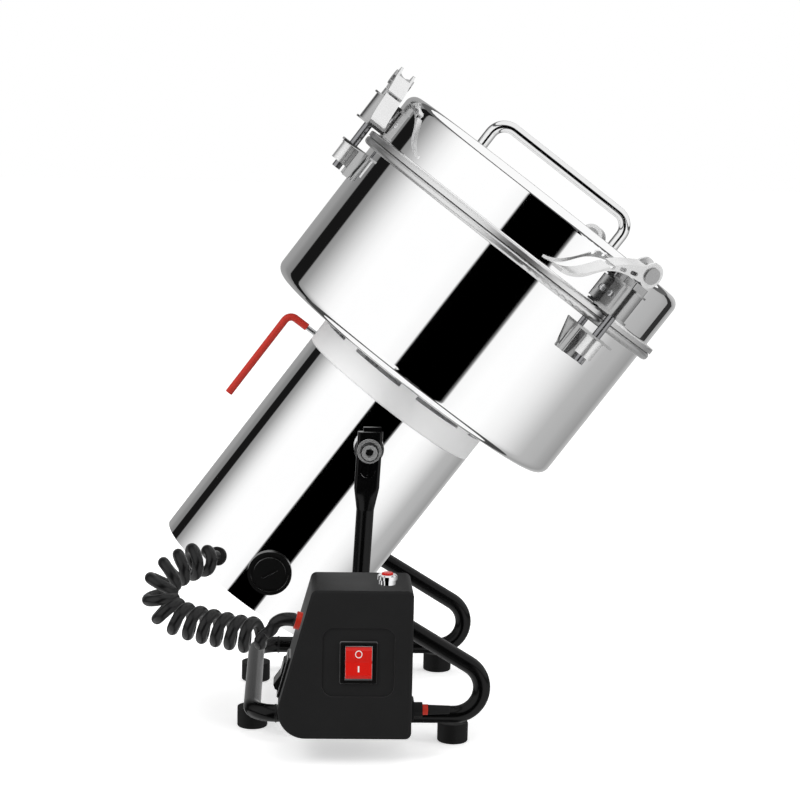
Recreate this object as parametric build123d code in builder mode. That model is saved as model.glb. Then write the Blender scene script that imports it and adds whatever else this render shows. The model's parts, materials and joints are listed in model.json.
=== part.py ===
from build123d import *
import os
from math import cos, degrees, pi, radians, sin, tan

# Swing-type electric grain mill: a steel grinding bowl on a motor housing, hung by two pivot bolts
# between the uprights of a bent-tube stand, with a control box on the front of the stand.
# Millimetres, +Z up, front towards -Y. The origin is on the floor under the middle of the whole mill.

os.makedirs("parts", exist_ok=True)

# ---------------------------------------------------------------- driving dimensions
gap = 0.3                # clearance between pieces that pass each other
shaft_fit = 0.05         # radial clearance of a shaft in its bore
cut = 2.0                # how far a hole or trim runs past the wall it opens

tilt = 36.7              # rest lean of the mill body away from upright, degrees
pivot_height = 220.0     # tilt axis above the floor

# Heights along the body axis are measured from the tilt axis.
housing_r = 76.0         # motor housing, outside
housing_wall = 1.2
housing_bottom = -151.7
collar_bottom = 30.0     # joint between housing and vented collar
seam_bevel = 0.5         # broken edges along that joint
bowl_bottom = 56.0       # underside of the grinding bowl
bowl_r = 130.0
bowl_wall = 1.5
bowl_corner_r = 8.0
rim_overhang = 6.7       # rolled rim of bowl and lid, outside the wall
bowl_rim_low = 174.2
bowl_rim_top = 180.4
rim_round_low = 3.0
rim_round_top = 2.4
lid_seam = 0.3           # line between the two rims
lid_lip = 4.3
lid_lip_round = 1.3
lid_top = 226.0
lid_corner_r = 8.0
lid_seal_width = 4.0
lid_seal_above = 3.0     # seal ring above the lip
lid_seal_below = 4.5     # seal lip down into the bowl

lid_handle_r = 4.5       # round bar
lid_handle_span = 137.0  # outside to outside
lid_handle_rise = 30.0   # top of the bar above the lid
lid_handle_bend = 13.0   # bend radius at the bar's centre

slot_count = 8           # cooling slots round the top of the collar
slot_arc = 33.5
slot_depth = 7.4
slot_phase = -1.0        # azimuth of the bridge nearest the front
cover_plate = 2.0        # vented cover pressed into the bottom of the housing
vent_circles = ((30.0, 12), (48.0, 20))   # radius and count of its slots
vent_length = 13.0
vent_width = 4.4

pull_height = 35.0       # tilt handle: a bent rod with a soft sleeve
pull_reach = 25.0
pull_drop = 76.0
pull_rod_r = 2.0
pull_bare = 8.0          # bare rod between wall and sleeve
pull_sleeve_r = 2.9
pull_sleeve_end = 1.2
pull_bend = 6.0

latch_azimuths = (32, 152, 272)   # degrees round the body, 0 at the front, 90 on the right
latch_hands = (-1, -1, 1)         # way each lever's tail points round the body
latch_rod_off = 5.3               # draw rods' distance outside the rim
latch_rod_r = 3.4
latch_rod_low = 146.0
latch_rod_end = 4.0               # rod above the lever's pin
rod_clearance = 0.6               # round a rod in the upper bracket
latch_plate = 1.5                 # sheet thickness of the brackets
wall_curve = 6.0                  # depth that covers the wall's curve behind a bracket
lower_bracket_low = 145.0
lower_bracket_top = 168.0
lower_bracket_half = 12.0
lower_bracket_front = 8.5         # outside the rod's axis
lower_ear_low = 14.0
lower_ear_top = 21.0
web_cut = 7.0                     # cut lower corner of its side webs
web_rivet_in = 2.0                # inside the rod's axis
web_rivet_up = 5.0                # above the bracket's lower edge
rivet_r = 1.7
rivet_head = 0.8
upper_bracket_low = 186.5
upper_bracket_top = 211.0
sleeve_r = 9.5                    # rounded front of the upper bracket
sleeve_flange = 2.0
ear_half = 19.0
ear_height = 19.0
ear_screw_in = 4.0                # from the ear's edge
bracket_screw_r = 2.7
bracket_screw_head = 1.3
saddle_half = 7.5
saddle_corner = 2.0
pin_height = 226.5                # lever pins
pin_r = 5.5
pin_head = 0.8                    # outside the pin
pin_head_width = 1.2
cam_r = 9.7
lever_width = 13.0
lever_reach = 70.0                # tail's end from the pin
lever_drop = 37.3                 # tail's end below the pin
lever_channel = 40.0              # the tail is a channel up to here, then a blade
lever_slot = 7.4                  # longest of its three slots
lever_slot_width = 3.0
cheek = 1.8
nut_r = 7.5
nut_height = 15.5
nut_flange_r = 8.0
nut_flange = 1.8

cap_height = -120.5      # brush axis
cap_r = 16.5
cap_head = 7.0
cap_rim = 2.5
cap_groove = 2.0
cap_mark_depth = 1.6
cap_slot_length = 13.0   # coin slot
cap_slot_width = 2.2
cap_slot_turn = 65.0
cap_thread_r = 11.0
holder_r = 14.0
holder_floor = 1.0
holder_short = 0.5       # holder ends below the housing's face
holder_tube_r = 9.0
holder_low = 20.0
holder_shoulder = 66.0
brush_width = 6.0
brush_depth = 10.0
brush_outer = 34.0
brush_fit = 0.2
spring_wire = 0.4
spring_r = 2.4
spring_pitch = 4.0

pivot_bolt_r = 5.0
pivot_boss_r = 11.0
pivot_reach = 70.0       # bolt tips and bosses end this far from the body axis
bolt_head_r = 6.5
bolt_head = 6.5
hex_socket = 5.8
hex_depth = 4.0
washer_r = 9.0
washer = 1.5

shaft_r = 7.5
shaft_end_r = 6.0        # lower journal and blade seat
shaft_low = -148.5
shaft_shoulder = 62.0
shaft_top = 103.0
rotor_r = 30.8
air_gap = 0.7
stack_low = -85.0        # laminations
stack_high = -25.0
end_turns = 12.0
winding_depth = 4.0      # end turns below the rotor's face
commutator_r = 16.0
commutator_half = 9.5
fan_low = 6.0
fan_r = 58.0
fan_height = 16.0
fan_plate = 2.0
fan_hub = 6.0
fan_blades = 12
fan_blade = 1.6
fan_margin = 1.0         # blades stop short of the hub and the rim
core_flat = 62.0         # stator core's flats, from the body axis
coil_at = 43.0           # field coils, from the body axis
coil_thick = 10.0
coil_half = 34.0
coil_leg = 9.0
coil_corner = 4.0
bearing_r = 17.5
bearing_width = 11.0
lower_bearing_r = 16.0
lower_bearing_width = 9.0
bearing_lip = 3.0
shield_depth = 1.0
plate_low = 38.0         # upper bearing plate
plate = 8.0
plate_rim = 4.0
plate_skirt = 20.0
hub_r = 24.0
hub_lip = 2.0
post_r = 6.0
window_length = 30.0     # air windows through the plate
window_width = 22.0
window_out = 7.0         # outside the middle of the plate's web
bracket_low = -148.0     # lower bearing bracket
bracket = 10.0
bracket_rim = 5.0
bracket_hub = 6.0
bracket_arm = 12.0
bracket_arm_less = 2.0   # arms below the hub's top
seal_r = 13.0
seal_depth = 6.0
seal_flange = 3.0
seal_flange_height = 2.5
screw_circle = 45.0
screw_r = 2.5
screw_head_r = 4.75
screw_head = 2.4
screw_length = 9.0
blade = 2.5
blade_pitch = 12.0
blade_clear = 10.5       # longest blade from the bowl's wall
blade_less = (0.0, 22.0, 36.0)   # how much shorter each blade is
blade_half = 14.0        # half width at the hub
blade_tip = 7.0
blade_rake = 6.0
blade_turn = 60.0
blade_phase = 20.0
blade_seat = 4.0         # lowest blade above the shaft's shoulder
spacer_r = 10.0
blade_nut_r = 10.0
shaft_end = 2.0          # shaft above the blade nut

tube_r = 6.5             # stand tube
tube_wall = 1.5
stand_half = 96.0        # middle plane of each side tube from the body axis
tube_height = 20.0       # floor runs, at the tube's centre
upright_lean = 2.8       # uprights lean down to the left, degrees
knee_bend = 26.0         # bend radii at the tube's centre
slope = 31.4             # fall of the sloping run, degrees
loop_reach = 87.5        # furthest point of the U-bend, right of the tilt axis
loop_bend = 20.8
cross_at = 84.0          # cross tube, left of the tilt axis
cross_bend = 18.0
flat_width = 18.5        # flattened top of the uprights
flat = 6.0
flat_corner = 2.4
flat_above = 14.0
flat_below = 28.0
flat_neck = 16.0
lip_width = 13.5         # pinched end above the flat
lip_height = 3.4
lip_off = 1.5
mark_below = 14.9        # press mark under the bolt
mark_r = 5.35
mark_depth = 1.2
mark_ridge = 1.6

foot_r = 11.5
foot_height = 15.0
foot_round = 1.2
foot_recess = 4.0
foot_screw_head = 2.5
right_foot_at = 66.5
left_foot_half = 62.5
foot_screw_r = 2.0
box_bolt_r = 2.0
box_bolt_height = 122.0  # upper bolt, through the upright
box_bolt_across = 20.0   # lower bolt, through the sloping run
box_bolt_head = 2.4
box_nut = 3.2
box_bolt_end = 5.0

box_top = 130.0
box_low = 20.5
box_left = 40.5          # top left corner
box_right = 32.0
box_slant = 15.3         # left side, degrees from upright
box_off = 0.5            # between the stand tube and the box
box_depth = 58.0
box_wall = 2.5
box_round = 20.0         # big lower left corner
box_corner = 4.5
box_edge = 2.2           # rounded front edge
boss_r = 4.0             # screw bosses and their places from the box's sides
boss_side = 6.0
boss_top = 12.0
boss_low = 9.0
box_screw_r = 1.6
box_screw_length = 10.0
back_cover = 2.0
panel_width = 51.5
panel_height = 50.6
panel_corner = 8.0
panel_sink = 1.4
panel_bevel = 0.5

switch_at = -6.9
switch_height = 77.5
bezel_width = 27.0
bezel_height = 31.0
bezel = 2.0
bezel_ledge = 1.5        # bezel outside the switch's body
bezel_corner = 1.5
bezel_bevel = 0.6
opening_width = 19.6
opening_height = 25.2
pocket = 10.0            # rocker's pocket behind the bezel's face
rocker_width = 18.8
rocker_half = 11.4
rocker_throw = 9.0       # each way
rocker_depth = 3.0       # rocker pivot behind the bezel's face
rocker_root = 2.0        # rocker behind its pivot
rocker_edge = 3.8        # rocker's ends in front of its pivot
rocker_crest = 6.2
rocker_valley = 4.5
rocker_bevel = 2.6
rocker_pin_r = 1.2
rocker_pin_end = 1.2     # pin into each side of the body
pin_end_gap = 0.2
switch_depth = 22.0      # switch body behind the wall
terminal_width = 6.3
terminal_thick = 0.8
terminal_length = 8.0
terminal_across = 12.0
terminal_pitch = 8.0
side_switch_height = 61.0
breaker_at = 13.5
breaker_back = 34.5      # from the box's back
breaker_width = 16.0
breaker_depth = 28.0
breaker_height = 33.0
breaker_pocket = 6.0
stem_r = 5.2             # breaker's threaded stem
bush_r = 6.0
bush_flange_r = 7.1
bush_flange_low = 3.5
bush_bevel = 0.8
bush_height = 7.0
button_r = 4.2
button_rise = 1.5
button_round = 0.8
cord_hole_back = 32.0    # cord entry and mains gland, from the box's back
cord_hole_height = 101.0
gland_height = 35.5
gland_size = 16.5        # square wall plate
gland_corner = 3.0
gland_plate = 2.5
gland_collar_r = 5.5
gland_collar_end = 9.0
gland_ring_r = 3.9
gland_ring_end = 13.0
gland_sleeve_r = 3.6
gland_sleeve_tip_r = 3.1
gland_sleeve = 16.0
gland_bore_r = 1.8
gland_bore = 10.0

cord_r = 3.5
coil_r = 12.5
cord_ring_r = 6.5
cord_seat_depth = 4.0    # how deep the cord sits in its ring and its grommet
entry_clear = 1.2        # of a cord's hole, round the cord
entry_depth = 2.0        # ring and gland behind the box's wall
grommet_azimuth = -28.7
grommet_height = -136.4
grommet_r = 7.0
grommet_neck_r = 5.5
grommet_lip = 3.5
grommet_behind = 3.0
coil_starts = 0.2        # share of the cord's second run where the coil begins
coil_ends = 0.88         # share of its fifth run where the coil ends

# ---------------------------------------------------------------- sizes that follow
lean = radians(tilt)
housing_in = housing_r - housing_wall
bowl_in = bowl_r - bowl_wall
rim_r = bowl_r + rim_overhang
lid_lip_low = bowl_rim_top + lid_seam
lid_lip_top = lid_lip_low + lid_lip
latch_rod_at = rim_r + latch_rod_off
bracket_depth = latch_rod_at - bowl_r + wall_curve
blade_reaches = [bowl_in - blade_clear - less for less in blade_less]
entry_r = cord_r + entry_clear
box_back = stand_half + tube_r + box_off
box_front = box_back + box_depth
reach_right = lid_top * sin(lean) + bowl_r * cos(lean)
reach_left = -housing_bottom * sin(lean) + housing_r * cos(lean)
pivot_x = (reach_left - reach_right) / 2
pivot_y = (box_front - rim_r) / 2

# ---------------------------------------------------------------- reference planes
pivot = Vector(pivot_x, pivot_y, pivot_height)
body_frame = Plane(pivot, x_dir=(cos(lean), 0, -sin(lean)), z_dir=(sin(lean), 0, cos(lean)))
body_axis = Axis(pivot, body_frame.z_dir)


def turned(plane, angle):
    """The same plane with its x direction turned about its normal."""
    return Plane(plane.location * Rotation(0, 0, angle))


def outward(azimuth):
    """Unit vector away from the body axis; 0 looks to the front, 90 to the lower right."""
    turn = radians(azimuth)
    return body_frame.x_dir * sin(turn) - body_frame.y_dir * cos(turn)


def section(azimuth=90):
    """Plane through the body axis for turned outlines: radius across, height up the axis."""
    normal = outward(azimuth).cross(body_frame.z_dir)
    return Plane(pivot, x_dir=outward(azimuth), z_dir=normal)


def wall_frame(azimuth, height, radius=0.0):
    """Plane facing outward at a point round the body; its x runs round and its y up the axis."""
    origin = pivot + body_frame.z_dir * height + outward(azimuth) * radius
    return Plane(origin, x_dir=outward(azimuth + 90), z_dir=outward(azimuth))


def latch_frame(azimuth):
    """Plane across a draw rod at the tilt axis' height; x runs round the body and y inward."""
    origin = pivot + outward(azimuth) * latch_rod_at
    return Plane(origin, x_dir=outward(azimuth + 90), z_dir=body_frame.z_dir)


def front_view(distance):
    """Upright plane facing the front, this far in front of the body axis, x from the tilt axis."""
    return Plane((pivot_x, pivot_y - distance, 0), x_dir=(1, 0, 0), z_dir=(0, -1, 0))


def ring(inner, outer, low, high, mode=Mode.ADD):
    """Turn a rectangular outline about the body axis into the piece being built."""
    with BuildSketch(section()) as outline:
        with Locations(((inner + outer) / 2, (low + high) / 2)):
            Rectangle(outer - inner, high - low)
    revolve(outline.sketch, axis=body_axis, mode=mode)


def across(frame, radius, low, high, mode=Mode.ADD):
    """Add or cut a round bar that runs along a frame's normal, between two distances."""
    with BuildSketch(frame.offset(low)) as disc:
        Circle(radius)
    extrude(disc.sketch, amount=high - low, dir=frame.z_dir, mode=mode)


def save(name, shape):
    """Label a finished piece and write it."""
    shape.label = name
    export_step(shape, f"parts/{name}.step")


# ---------------------------------------------------------------- grinding bowl
with BuildPart() as bowl:
    with BuildSketch(section()) as bowl_outline:
        with BuildLine():
            Polyline(
                (seal_r, bowl_bottom),
                (bowl_r, bowl_bottom),
                (bowl_r, bowl_rim_low),
                (rim_r, bowl_rim_low),
                (rim_r, bowl_rim_top),
                (bowl_in, bowl_rim_top),
                (bowl_in, bowl_bottom + bowl_wall),
                (seal_r, bowl_bottom + bowl_wall),
                close=True,
            )
        make_face()
        fillet(vertices().sort_by_distance((bowl_r, bowl_bottom))[0], bowl_corner_r)
        fillet(vertices().sort_by_distance((bowl_in, bowl_bottom + bowl_wall))[0], bowl_corner_r - bowl_wall)
        fillet(vertices().sort_by_distance((rim_r, bowl_rim_low))[0], rim_round_low)
        fillet(vertices().sort_by_distance((rim_r, bowl_rim_top))[0], rim_round_top)
    revolve(axis=body_axis)
    with BuildSketch(body_frame.offset(bowl_bottom)):
        with PolarLocations(screw_circle, 4, start_angle=45):
            Circle(screw_r)
    extrude(amount=bowl_wall, mode=Mode.SUBTRACT)
save("bowl", bowl.part)

# Dome screws hold the bowl down on the four posts of the bearing plate.
with BuildPart(body_frame.offset(bowl_bottom + bowl_wall)) as bowl_screws:
    with PolarLocations(screw_circle, 4, start_angle=45):
        Cylinder(screw_head_r, screw_head, align=(Align.CENTER, Align.CENTER, Align.MIN))
        Cylinder(screw_r, screw_length, align=(Align.CENTER, Align.CENTER, Align.MAX))
save("bowl_screws", bowl_screws.part)

# ---------------------------------------------------------------- lid
with BuildPart() as lid:
    with BuildSketch(section()):
        with BuildLine():
            Polyline(
                (0, lid_top),
                (bowl_r, lid_top),
                (bowl_r, lid_lip_top),
                (rim_r, lid_lip_top),
                (rim_r, lid_lip_low),
                (bowl_in, lid_lip_low),
                (bowl_in, lid_top - bowl_wall),
                (0, lid_top - bowl_wall),
                close=True,
            )
        make_face()
        fillet(vertices().sort_by_distance((bowl_r, lid_top))[0], lid_corner_r)
        fillet(vertices().sort_by_distance((bowl_in, lid_top - bowl_wall))[0], lid_corner_r - bowl_wall)
        fillet(vertices().sort_by_distance((bowl_r, lid_lip_top))[0], lid_lip_round)
        fillet(vertices().sort_by_distance((rim_r, lid_lip_top))[0], lid_lip_round)
    revolve(axis=body_axis)
save("lid", lid.part)

# Soft ring inside the lid, whose lip reaches down into the bowl.
with BuildPart() as lid_seal:
    ring(bowl_in - lid_seal_width, bowl_in, lid_lip_low, lid_lip_top + lid_seal_above)
    ring(bowl_in - lid_seal_width, bowl_in - gap, lid_lip_low - lid_seal_below, lid_lip_low)
save("lid_seal", lid_seal.part)

handle_half = lid_handle_span / 2 - lid_handle_r
handle_top = lid_top + lid_handle_rise - lid_handle_r
with BuildPart() as lid_handle:
    with BuildLine(section()) as handle_line:
        FilletPolyline(
            (-handle_half, lid_top),
            (-handle_half, handle_top),
            (handle_half, handle_top),
            (handle_half, lid_top),
            radius=lid_handle_bend,
        )
    with BuildSketch(Plane(handle_line.line @ 0, z_dir=handle_line.line % 0)):
        Circle(lid_handle_r)
    sweep()
save("lid_handle", lid_handle.part)

# ---------------------------------------------------------------- collar and motor housing
with BuildPart() as collar:
    ring(housing_in, housing_r, collar_bottom, bowl_bottom)
    chamfer(collar.edges().group_by(body_axis)[0].sort_by(SortBy.LENGTH)[-1], seam_bevel)
    for slot in range(slot_count):
        bridge = 360 / slot_count - slot_arc
        start = slot_phase + bridge / 2 + slot * 360 / slot_count
        with BuildSketch(section(start)) as slot_outline:
            with Locations((housing_r, bowl_bottom)):
                Rectangle(4 * housing_wall, 2 * slot_depth)
        revolve(slot_outline.sketch, axis=body_axis, revolution_arc=slot_arc, mode=Mode.SUBTRACT)
    across(wall_frame(-90, pull_height), pull_rod_r, housing_in - cut, housing_r + cut, Mode.SUBTRACT)
save("collar", collar.part)

with BuildPart() as motor_housing:
    ring(housing_in, housing_r, housing_bottom, collar_bottom)
    chamfer(motor_housing.edges().group_by(body_axis)[-1].sort_by(SortBy.LENGTH)[-1], seam_bevel)
    for azimuth in (0, 180):
        across(wall_frame(azimuth, 0), pivot_boss_r, housing_in - cut, housing_r + cut, Mode.SUBTRACT)
        across(wall_frame(azimuth, cap_height), holder_r, housing_in - cut, housing_r + cut, Mode.SUBTRACT)
    grommet_frame = wall_frame(grommet_azimuth, grommet_height)
    across(grommet_frame, grommet_neck_r, housing_in - cut, housing_r + cut, Mode.SUBTRACT)
save("motor_housing", motor_housing.part)

# Vented cover pressed into the bottom of the housing.
with BuildPart() as bottom_cover:
    ring(0, housing_in, housing_bottom, housing_bottom + cover_plate)
    ring(housing_in - cover_plate, housing_in, housing_bottom + cover_plate, bracket_low)
    with BuildSketch(body_frame.offset(housing_bottom)):
        for vent_circle, vent_count in vent_circles:
            with PolarLocations(vent_circle, vent_count):
                SlotOverall(vent_length, vent_width)
    extrude(amount=cover_plate, mode=Mode.SUBTRACT)
save("bottom_cover", bottom_cover.part)

# ---------------------------------------------------------------- bearing plate and lower bracket
with BuildPart() as bearing_plate:
    ring(0, housing_in, plate_low, plate_low + plate)
    ring(housing_in - plate_rim, housing_in, plate_skirt, plate_low)
    ring(0, hub_r, plate_low - hub_lip, bowl_bottom)
    with BuildSketch(body_frame.offset(plate_low + plate)):
        with PolarLocations(screw_circle, 4, start_angle=45):
            Circle(post_r)
    extrude(amount=bowl_bottom - plate_low - plate)
    ring(0, bearing_r, plate_low, plate_low + bearing_width, Mode.SUBTRACT)
    ring(0, seal_r, plate_low + bearing_width, bowl_bottom, Mode.SUBTRACT)
    ring(0, bearing_r - bearing_lip, plate_low - hub_lip, plate_low, Mode.SUBTRACT)
    with BuildSketch(body_frame.offset(plate_low)):
        with PolarLocations((hub_r + housing_in) / 2 + window_out, 4):
            SlotOverall(window_length, window_width, rotation=90)
    extrude(amount=plate, mode=Mode.SUBTRACT)
    with BuildSketch(body_frame.offset(bowl_bottom + bowl_wall - screw_length)):
        with PolarLocations(screw_circle, 4, start_angle=45):
            Circle(screw_r)
    extrude(amount=screw_length, mode=Mode.SUBTRACT)
save("bearing_plate", bearing_plate.part)

seat_floor = bracket - lower_bearing_width
with BuildPart() as lower_bracket:
    ring(housing_in - bracket_rim, housing_in, bracket_low, bracket_low + bracket / 2)
    ring(0, lower_bearing_r + bracket_hub, bracket_low, bracket_low + bracket)
    with BuildSketch(body_frame.offset(bracket_low)):
        with PolarLocations((lower_bearing_r + housing_in) / 2, 3, start_angle=-60):
            Rectangle(housing_in - lower_bearing_r - bracket_rim, bracket_arm)
    extrude(amount=bracket - bracket_arm_less)
    ring(0, lower_bearing_r, bracket_low + seat_floor, bracket_low + bracket, Mode.SUBTRACT)
    ring(0, lower_bearing_r - bearing_lip, bracket_low, bracket_low + seat_floor, Mode.SUBTRACT)
save("lower_bracket", lower_bracket.part)


def bearing(bore, outer, low, width):
    """Inner race, outer race and a shield between them, as one closed ball bearing."""
    step = (outer - bore) / 3
    ring(bore, bore + step, low, low + width)
    ring(outer - step, outer, low, low + width)
    ring(bore + step, outer - step, low + shield_depth, low + width - shield_depth)


with BuildPart() as upper_bearing:
    bearing(shaft_r, bearing_r, plate_low, bearing_width)
with BuildPart() as lower_bearing:
    bearing(shaft_end_r, lower_bearing_r, bracket_low + seat_floor, lower_bearing_width)

# The races are held in their seats; the shaft turns in them with a running fit.
with BuildPart() as motor_bearings:
    add(upper_bearing.part)
    add(lower_bearing.part)
    ring(0, shaft_r + shaft_fit, plate_low, plate_low + bearing_width, Mode.SUBTRACT)
    ring(0, shaft_end_r + shaft_fit, bracket_low, bracket_low + bracket, Mode.SUBTRACT)
save("motor_bearings", motor_bearings.part)

with BuildPart() as shaft_seal:
    seal_seat = bowl_bottom + bowl_wall
    ring(shaft_r + shaft_fit, seal_r, bowl_bottom - seal_depth, seal_seat)
    ring(shaft_r + shaft_fit, seal_r + seal_flange, seal_seat, seal_seat + seal_flange_height)
save("shaft_seal", shaft_seal.part)

# ---------------------------------------------------------------- stator
with BuildPart() as stator_core:
    ring(rotor_r + air_gap, housing_in, stack_low, stack_high)
    with BuildSketch(body_frame.offset(stack_low)):
        for side in (-1, 1):
            with Locations((0, side * (housing_in + core_flat) / 2)):
                Rectangle(2 * housing_in, housing_in - core_flat)
            for leg in (-1, 1):
                with Locations((side * coil_at, leg * (coil_half - coil_leg / 2))):
                    Rectangle(coil_thick, coil_leg)
    extrude(amount=stack_high - stack_low, mode=Mode.SUBTRACT)
save("stator_core", stator_core.part)

with BuildPart() as field_coils:
    for side in (-1, 1):
        frame = wall_frame(side * 90, (stack_low + stack_high) / 2, coil_at - coil_thick / 2)
        with BuildSketch(frame):
            RectangleRounded(2 * coil_half, stack_high - stack_low + 2 * end_turns, coil_corner)
            Rectangle(2 * (coil_half - coil_leg), stack_high - stack_low, mode=Mode.SUBTRACT)
        extrude(amount=coil_thick)
save("field_coils", field_coils.part)

# ---------------------------------------------------------------- rotor
with BuildPart() as drive_shaft:
    ring(0, shaft_end_r, shaft_low, bracket_low + bracket)
    ring(0, shaft_r, bracket_low + bracket, shaft_shoulder)
    ring(0, shaft_end_r, shaft_shoulder, shaft_top)
save("drive_shaft", drive_shaft.part)

with BuildPart() as armature_core:
    ring(shaft_r, rotor_r, stack_low, stack_high)
save("armature_core", armature_core.part)

with BuildPart() as armature_windings:
    ring(shaft_r, rotor_r - winding_depth, stack_low - end_turns, stack_low)
    ring(shaft_r, rotor_r - winding_depth, stack_high, stack_high + end_turns)
save("armature_windings", armature_windings.part)

with BuildPart() as commutator:
    ring(shaft_r, commutator_r, cap_height - commutator_half, cap_height + commutator_half)
save("commutator", commutator.part)

hub_outer = shaft_r + fan_hub
with BuildPart() as cooling_fan:
    ring(shaft_r, hub_outer, fan_low, fan_low + fan_height)
    ring(hub_outer, fan_r, fan_low, fan_low + fan_plate)
    with BuildSketch(body_frame.offset(fan_low + fan_plate)):
        with PolarLocations((hub_outer + fan_r) / 2, fan_blades):
            Rectangle(fan_r - hub_outer - 2 * fan_margin, fan_blade)
    extrude(amount=fan_height - fan_plate)
save("cooling_fan", cooling_fan.part)

with BuildPart() as grinding_blades:
    for layer, blade_reach in enumerate(blade_reaches):
        seat = shaft_shoulder + blade_seat + layer * blade_pitch
        with BuildSketch(turned(body_frame.offset(seat), layer * blade_turn + blade_phase)):
            with BuildLine():
                Polyline(
                    (-blade_reach, -blade_tip),
                    (0, -blade_half),
                    (blade_reach - blade_rake, -blade_tip),
                    (blade_reach, blade_tip),
                    (0, blade_half),
                    (-blade_reach + blade_rake, blade_tip),
                    close=True,
                )
            make_face()
            Circle(shaft_end_r, mode=Mode.SUBTRACT)
        extrude(amount=blade)
save("grinding_blades", grinding_blades.part)

with BuildPart() as blade_spacers:
    ring(shaft_end_r, spacer_r, shaft_shoulder, shaft_shoulder + blade_seat)
    for layer in range(len(blade_reaches) - 1):
        seat = shaft_shoulder + blade_seat + layer * blade_pitch
        ring(shaft_end_r, spacer_r, seat + blade, seat + blade_pitch)
save("blade_spacers", blade_spacers.part)

blades_top = shaft_shoulder + blade_seat + (len(blade_reaches) - 1) * blade_pitch + blade
with BuildPart() as blade_nut:
    with BuildSketch(body_frame.offset(blades_top)):
        RegularPolygon(blade_nut_r, 6)
        Circle(shaft_end_r, mode=Mode.SUBTRACT)
    extrude(amount=shaft_top - blades_top - shaft_end)
save("blade_nut", blade_nut.part)

# ---------------------------------------------------------------- brushes
holder_seat = holder_shoulder + holder_floor
with BuildPart() as brush_holders:
    for azimuth in (0, 180):
        frame = wall_frame(azimuth, cap_height)
        across(frame, holder_tube_r, holder_low, holder_shoulder)
        across(frame, holder_r, holder_shoulder, housing_r - holder_short)
        across(frame, cap_thread_r, holder_seat, housing_r, Mode.SUBTRACT)
        with BuildSketch(frame.offset(holder_low)):
            Rectangle(brush_width + 2 * brush_fit, brush_depth + 2 * brush_fit)
        extrude(amount=housing_r - holder_low, mode=Mode.SUBTRACT)
save("brush_holders", brush_holders.part)

with BuildPart() as carbon_brushes:
    for azimuth in (0, 180):
        with BuildSketch(wall_frame(azimuth, cap_height, commutator_r + gap)):
            Rectangle(brush_width, brush_depth)
        extrude(amount=brush_outer - commutator_r - gap)
save("carbon_brushes", carbon_brushes.part)

with BuildPart() as brush_springs:
    for azimuth in (0, 180):
        frame = wall_frame(azimuth, cap_height, brush_outer + spring_wire)
        spring_length = holder_seat - brush_outer - 2 * spring_wire
        with BuildLine() as spring_line:
            Helix(spring_pitch, spring_length, spring_r, center=frame.origin, direction=frame.z_dir)
        with BuildSketch(Plane(spring_line.line @ 0, z_dir=spring_line.line % 0)):
            Circle(spring_wire)
        sweep(path=spring_line.line, is_frenet=True)
save("brush_springs", brush_springs.part)

with BuildPart() as brush_caps:
    for azimuth in (0, 180):
        frame = wall_frame(azimuth, cap_height)
        across(frame, cap_thread_r, holder_seat, housing_r)
        across(frame, cap_r, housing_r, housing_r + cap_head)
        with BuildSketch(frame.offset(housing_r + cap_head)):
            Circle(cap_r - cap_rim)
            Circle(cap_r - cap_rim - cap_groove, mode=Mode.SUBTRACT)
            with Locations(Rotation(0, 0, cap_slot_turn)):
                SlotOverall(cap_slot_length, cap_slot_width)
        extrude(amount=-cap_mark_depth, mode=Mode.SUBTRACT)
save("brush_caps", brush_caps.part)

# ---------------------------------------------------------------- pivots
boss_face = stand_half - flat / 2 - gap
with BuildPart() as pivot_bosses:
    for azimuth in (0, 180):
        across(wall_frame(azimuth, 0), pivot_boss_r, pivot_reach, boss_face)
        across(wall_frame(azimuth, 0), pivot_bolt_r + shaft_fit, pivot_reach, boss_face, Mode.SUBTRACT)
save("pivot_bosses", pivot_bosses.part)

bolt_face = stand_half + flat / 2 + washer
with BuildPart() as pivot_bolts:
    for azimuth in (0, 180):
        frame = wall_frame(azimuth, 0)
        across(frame, pivot_bolt_r, pivot_reach, bolt_face)
        across(frame, bolt_head_r, bolt_face, bolt_face + bolt_head)
        with BuildSketch(frame.offset(bolt_face + bolt_head)):
            RegularPolygon(hex_socket / 2, 6, major_radius=False)
        extrude(amount=-hex_depth, mode=Mode.SUBTRACT)
        across(frame, washer_r, bolt_face - washer, bolt_face)
save("pivot_bolts", pivot_bolts.part)

# ---------------------------------------------------------------- tilt handle
pull_out = housing_r + pull_reach
pull_low = pull_height - pull_drop
pull_points = ((housing_in, pull_height), (pull_out, pull_height), (pull_out, pull_low))
sleeve_start = housing_r + pull_bare
with BuildPart() as tilt_handle:
    with BuildLine(section(-90)) as pull_line:
        FilletPolyline(*pull_points, radius=pull_bend)
    with BuildSketch(Plane(pull_line.line @ 0, z_dir=pull_line.line % 0)):
        Circle(pull_rod_r)
    sweep()
save("tilt_handle", tilt_handle.part)

with BuildPart() as handle_sleeve:
    with BuildLine(section(-90)) as sleeve_line:
        FilletPolyline((sleeve_start, pull_height), pull_points[1], pull_points[2], radius=pull_bend)
    with BuildSketch(Plane(sleeve_line.line @ 0, z_dir=sleeve_line.line % 0)):
        Circle(pull_sleeve_r)
        Circle(pull_rod_r, mode=Mode.SUBTRACT)
    sweep()
    with BuildSketch(Plane(sleeve_line.line @ 1, z_dir=sleeve_line.line % 1)):
        Circle(pull_sleeve_r)
    extrude(amount=pull_sleeve_end)
save("handle_sleeve", handle_sleeve.part)

# ---------------------------------------------------------------- latches


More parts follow.
